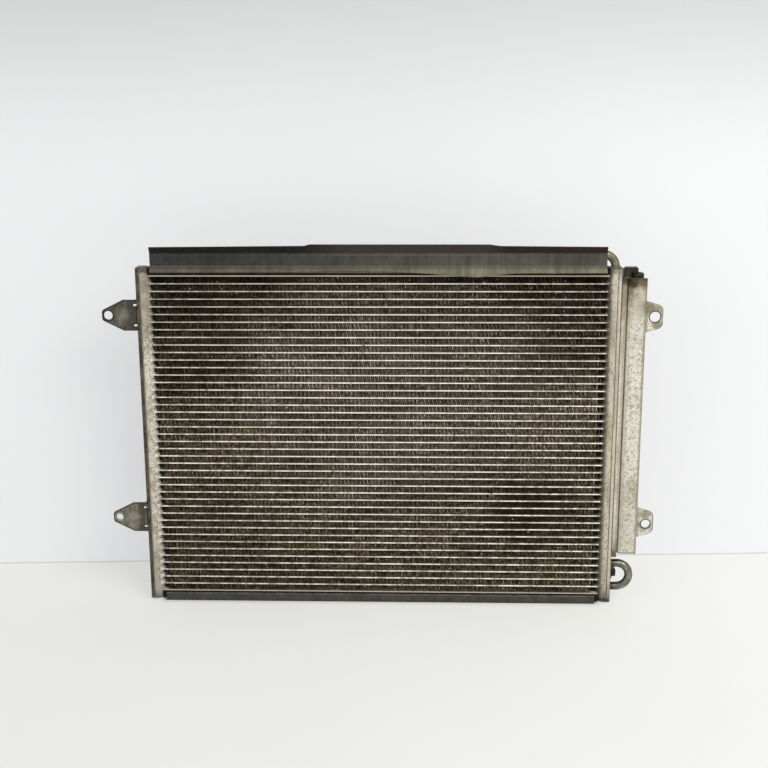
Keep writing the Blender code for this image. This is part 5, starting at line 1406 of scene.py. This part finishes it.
def rounded(corner_radius, corner_height, size, first, last, steps=5):
    """Points round a corner, for a profile."""
    turns = [math.radians(first + (last - first) * step / steps) for step in range(steps + 1)]
    return [(corner_radius + size * math.cos(a), corner_height + size * math.sin(a)) for a in turns]


def weld_seam(height):
    """A low bead in the wall's profile."""
    return [(WALL_RADIUS, height - 1 * MM), (BOTTLE_RADIUS, height), (WALL_RADIUS, height + 1 * MM)]


foot_z = bottle_low.z + 1.2 * MM
well_z = bottle_high.z - 6 * MM
profile = [(0.0, foot_z), (BOTTLE_RADIUS - 5 * MM, foot_z), (BOTTLE_RADIUS - 4 * MM, bottle_low.z)]
profile += rounded(WALL_RADIUS - FOOT_CORNER, bottle_low.z + FOOT_CORNER, FOOT_CORNER, -90, 0)
profile += weld_seam(bottle_low.z + 9 * MM) + weld_seam(bottle_high.z - 14 * MM)
profile += rounded(WALL_RADIUS - NECK_CORNER, bottle_high.z - NECK_CORNER, NECK_CORNER, 0, 90)
profile += [(BOTTLE_RADIUS - 3.3 * MM, bottle_high.z), (BOTTLE_RADIUS - 3.3 * MM, well_z), (0.0, well_z)]
bm = bmesh.new()
verts = [bm.verts.new((BOTTLE_X + radius, BOTTLE_Y, height)) for radius, height in profile]
edges = [bm.edges.new(pair) for pair in zip(verts, verts[1:])]
turn_full(bm, verts + edges, (BOTTLE_X, BOTTLE_Y, 0), ALONG_Z, 64, NEAR_PLACE)
finish_piece("bottle_body", bm, bottle_finish, "receiver_bottle", slot="oxidised_aluminium")
softened("plug_body", "receiver_plug", 0.3 * MM, plastic_finish, "black_plastic")
print("bottle height in mm:", round((bottle_high.z - bottle_low.z) / MM, 1))

# %% [markdown]
# The upper guide keeps the model's section. It is cut into short lengths first, so that it can be
# given the slight waves of a strip that has been in the sun, and its long edges are rounded after.

# %% Upper air guide
STATION = 5.0 * MM
CUT_SHIFT = 0.13 * MM
WALL_FOOT_Z = SKIRT_TOP_Z + 3 * MM
SKIRT_BEND_Z = SKIRT_TOP_Z - 2.5 * MM
SKIRT_BACK_Y = guide_low.y + 4.6 * MM
FREE_EDGE_Z = SKIRT_TOP_Z - 5 * MM
FREE_EDGE_Y = guide_low.y + 3.6 * MM
bm = copy_of_node("upper_air_guide")
length = guide_high.x - guide_low.x
cuts = int(length / STATION)
for cut in range(1, cuts):
    place = (guide_low.x + length * cut / cuts + CUT_SHIFT, 0, 0)
    whole = bm.verts[:] + bm.edges[:] + bm.faces[:]
    bmesh.ops.bisect_plane(bm, geom=whole, dist=NEAR_PLACE, plane_co=place, plane_no=ALONG_X)


def skirt_lift(across_x):
    """How far the skirt's free edge is drawn up: most at the left, least at its dip."""
    left = 1.0 - min(max((across_x - 0.012) / 0.083, 0.0), 1.0)
    right = min(max((across_x - 0.120) / 0.035, 0.0), 1.0)
    return (2.3 * left + 1.3 * right) * MM


for vert in bm.verts:
    if vert.co.z < FREE_EDGE_Z and vert.co.y < FREE_EDGE_Y:
        lift = skirt_lift(vert.co.x)
        vert.co.z += lift
        vert.co.y += 0.55 * lift
    slow = noise.noise(Vector((vert.co.x * 16, 2.0, vert.co.z * 12)))
    quick_wave = noise.noise(Vector((vert.co.x * 75, 7.0, vert.co.z * 30)))
    if vert.co.z > WALL_FOOT_Z:
        vert.co.y += 0.30 * MM * slow + 0.08 * MM * quick_wave + 0.1 * MM
    if vert.co.y < SKIRT_BACK_Y and vert.co.z < SKIRT_BEND_Z:
        vert.co.z += 0.32 * MM * quick_wave + 0.15 * MM * slow
        vert.co.y += 0.25 * MM * (1 + slow)
round_edges(bm, SHEET_EASE, math.radians(40))
guide = finish_piece("upper_guide_strip", bm, guide_finish, "upper_air_guide", slot="grey_rubber")
print("guide faces:", len(guide.data.polygons))

# %% [markdown]
# The studio is a pale floor and a wall that stands behind the part at a slight angle. Both show a
# nearly plain shade to the camera but still take the part's shadow. Both are painted a little darker
# to the left, and the wall towards the top, a painted fall-off of the light, and a thin dark line at
# the foot of the wall is a painted shadow in the corner. From behind they turn clear, so that other
# views aren't blocked.

# %% Floor and wall
GLOW_SHARE = 0.60
CONTACT_FADE = 0.011
SEAM_HEIGHT = 0.0005


def room_finish(name, shade, left_tone, top_tone, seam_z=-1.0, contact=None):
    """A matt surface that shows a nearly even shade to the camera, and is clear from behind. The left
    and top tones paint a fall-off of the light, and below the seam height the shade is darker, a
    painted shadow in the corner. Inside the contact box (x from, x to, y from, y to) it glows less, so
    that the near shadow stays."""
    material, tree = new_material(name)
    tree.nodes.remove(tree.nodes["Principled BSDF"])
    rise = place_along(tree, "Z")
    # Painted fall-off of the light: darker to the left and towards the top.
    tone = ramp(tree, place_along(tree, "X"), -0.55, 0.55, left_tone, 1.0)
    tone = times(tree, tone, ramp(tree, rise, 0.50, 0.90, 1.0, top_tone))
    cloud = noise_in(tree, 3.0, 4.0).outputs["Fac"]
    tone = times(tree, tone, ramp(tree, cloud, 0.3, 0.7, 0.985, 1.0))
    # Painted shadow: a darker line below the seam height, in the corner of wall and floor.
    tone = times(tree, tone, ramp(tree, rise, seam_z, seam_z + SEAM_HEIGHT, 0.68, 1.0))
    colour = tinted(tree, shade, tone)
    matt = put(tree, "BsdfDiffuse", {"Color": colour})
    glow = put(tree, "Emission", {"Color": colour, "Strength": 1.0})
    rays = put(tree, "LightPath").outputs
    seen = arithmetic(tree, "MAXIMUM", rays["Is Camera Ray"], rays["Is Glossy Ray"])
    seen = arithmetic(tree, "MAXIMUM", seen, rays["Is Transmission Ray"])
    share = times(tree, seen, GLOW_SHARE)
    if contact:
        near_x = mask_of(tree, BAND, ALONG_X, *contact[:2], CONTACT_FADE, 0.0)
        near_y = mask_of(tree, BAND, ALONG_Y, *contact[2:], CONTACT_FADE, 0.0)
        near = times(tree, near_x, near_y)
        share = times(tree, share, graded(tree, near, 1.0, 0.1))
    lit = put(tree, "MixShader", {0: share, 1: matt.outputs[0], 2: glow.outputs[0]})
    clear = put(tree, "BsdfTransparent")
    behind = put(tree, "NewGeometry").outputs["Backfacing"]
    mixed = put(tree, "MixShader", {0: behind, 1: lit.outputs[0], 2: clear.outputs[0]})
    fill(tree, tree.nodes["Material Output"], {"Surface": mixed.outputs[0]})
    return material


def room_plane(name, matrix, size, material):
    """A large flat piece of the room."""
    bm = bmesh.new()
    bmesh.ops.create_grid(bm, x_segments=1, y_segments=1, size=0.5)
    bmesh.ops.transform(bm, matrix=matrix @ Matrix.Diagonal((*size, 1.0, 1.0)), verts=bm.verts)
    stored(name, bm, material)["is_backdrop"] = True


WALL_ANGLE = math.radians(3.28)
wall_foot = Vector((-2.2, 136.9, 0.0)) * MM
strip_foot = (strip_low.x, strip_high.x, strip_low.y, strip_high.y)
# The floor darkens to the left and the wall to the left and top, a painted fall-off of the light; the
# wall's lowest millimetre is a painted corner shadow.
floor_finish = room_finish("floor", (0.900, 0.903, 0.868), 0.93, 1.0, contact=strip_foot)
wall_finish = room_finish("wall", (0.885, 0.888, 0.897), 0.935, 0.64, 0.0010)
room_plane("floor", Matrix.Translation((0, -1.4, -0.0002)), (9.0, 4.0), floor_finish)
upright = Matrix.Translation(wall_foot) @ Matrix.Rotation(WALL_ANGLE, 4, "Z")
lifted = upright @ Matrix.Translation((0, 0, 1.5)) @ Matrix.Rotation(math.pi / 2, 4, "X")
room_plane("wall", lifted, (9.0, 3.0), wall_finish)

# %% [markdown]
# The light is broad and soft. A pale sky fills every shadow, a large lamp high at the right front
# gives the shapes their shade, and a weaker one at the left keeps that side open.

# %% Lights
world = bpy.data.worlds.new("studio")
bpy.context.scene.world = world
world.use_nodes = True
sky = world.node_tree.nodes["Background"]
sky.inputs["Color"].default_value = (0.95, 0.98, 1.0, 1.0)
sky.inputs["Strength"].default_value = 0.60


def soft_lamp(name, place, target, size, watts, colour):
    """A large area lamp aimed at a point."""
    data = bpy.data.lights.new(name, "AREA")
    data.shape = "RECTANGLE"
    data.size, data.size_y = size
    data.energy = watts
    data.color = colour
    lamp = add_object(name, data)
    lamp.location = place
    lamp.rotation_euler = (Vector(target) - Vector(place)).to_track_quat("-Z", "Y").to_euler()


soft_lamp("key", (1.6, -2.2, 2.2), (0.1, 0, 0.2), (1.8, 1.4), 62.0, (1.0, 0.985, 0.96))
soft_lamp("fill", (-2.0, -2.4, 1.2), (0, 0, 0.2), (2.0, 1.6), 16.0, (0.96, 0.98, 1.0))
bpy.context.scene.view_settings.view_transform = "Standard"

# %% Sizes and the end
low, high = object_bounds()
print("visual size in mm:", [round(side * 1000, 1) for side in high - low])
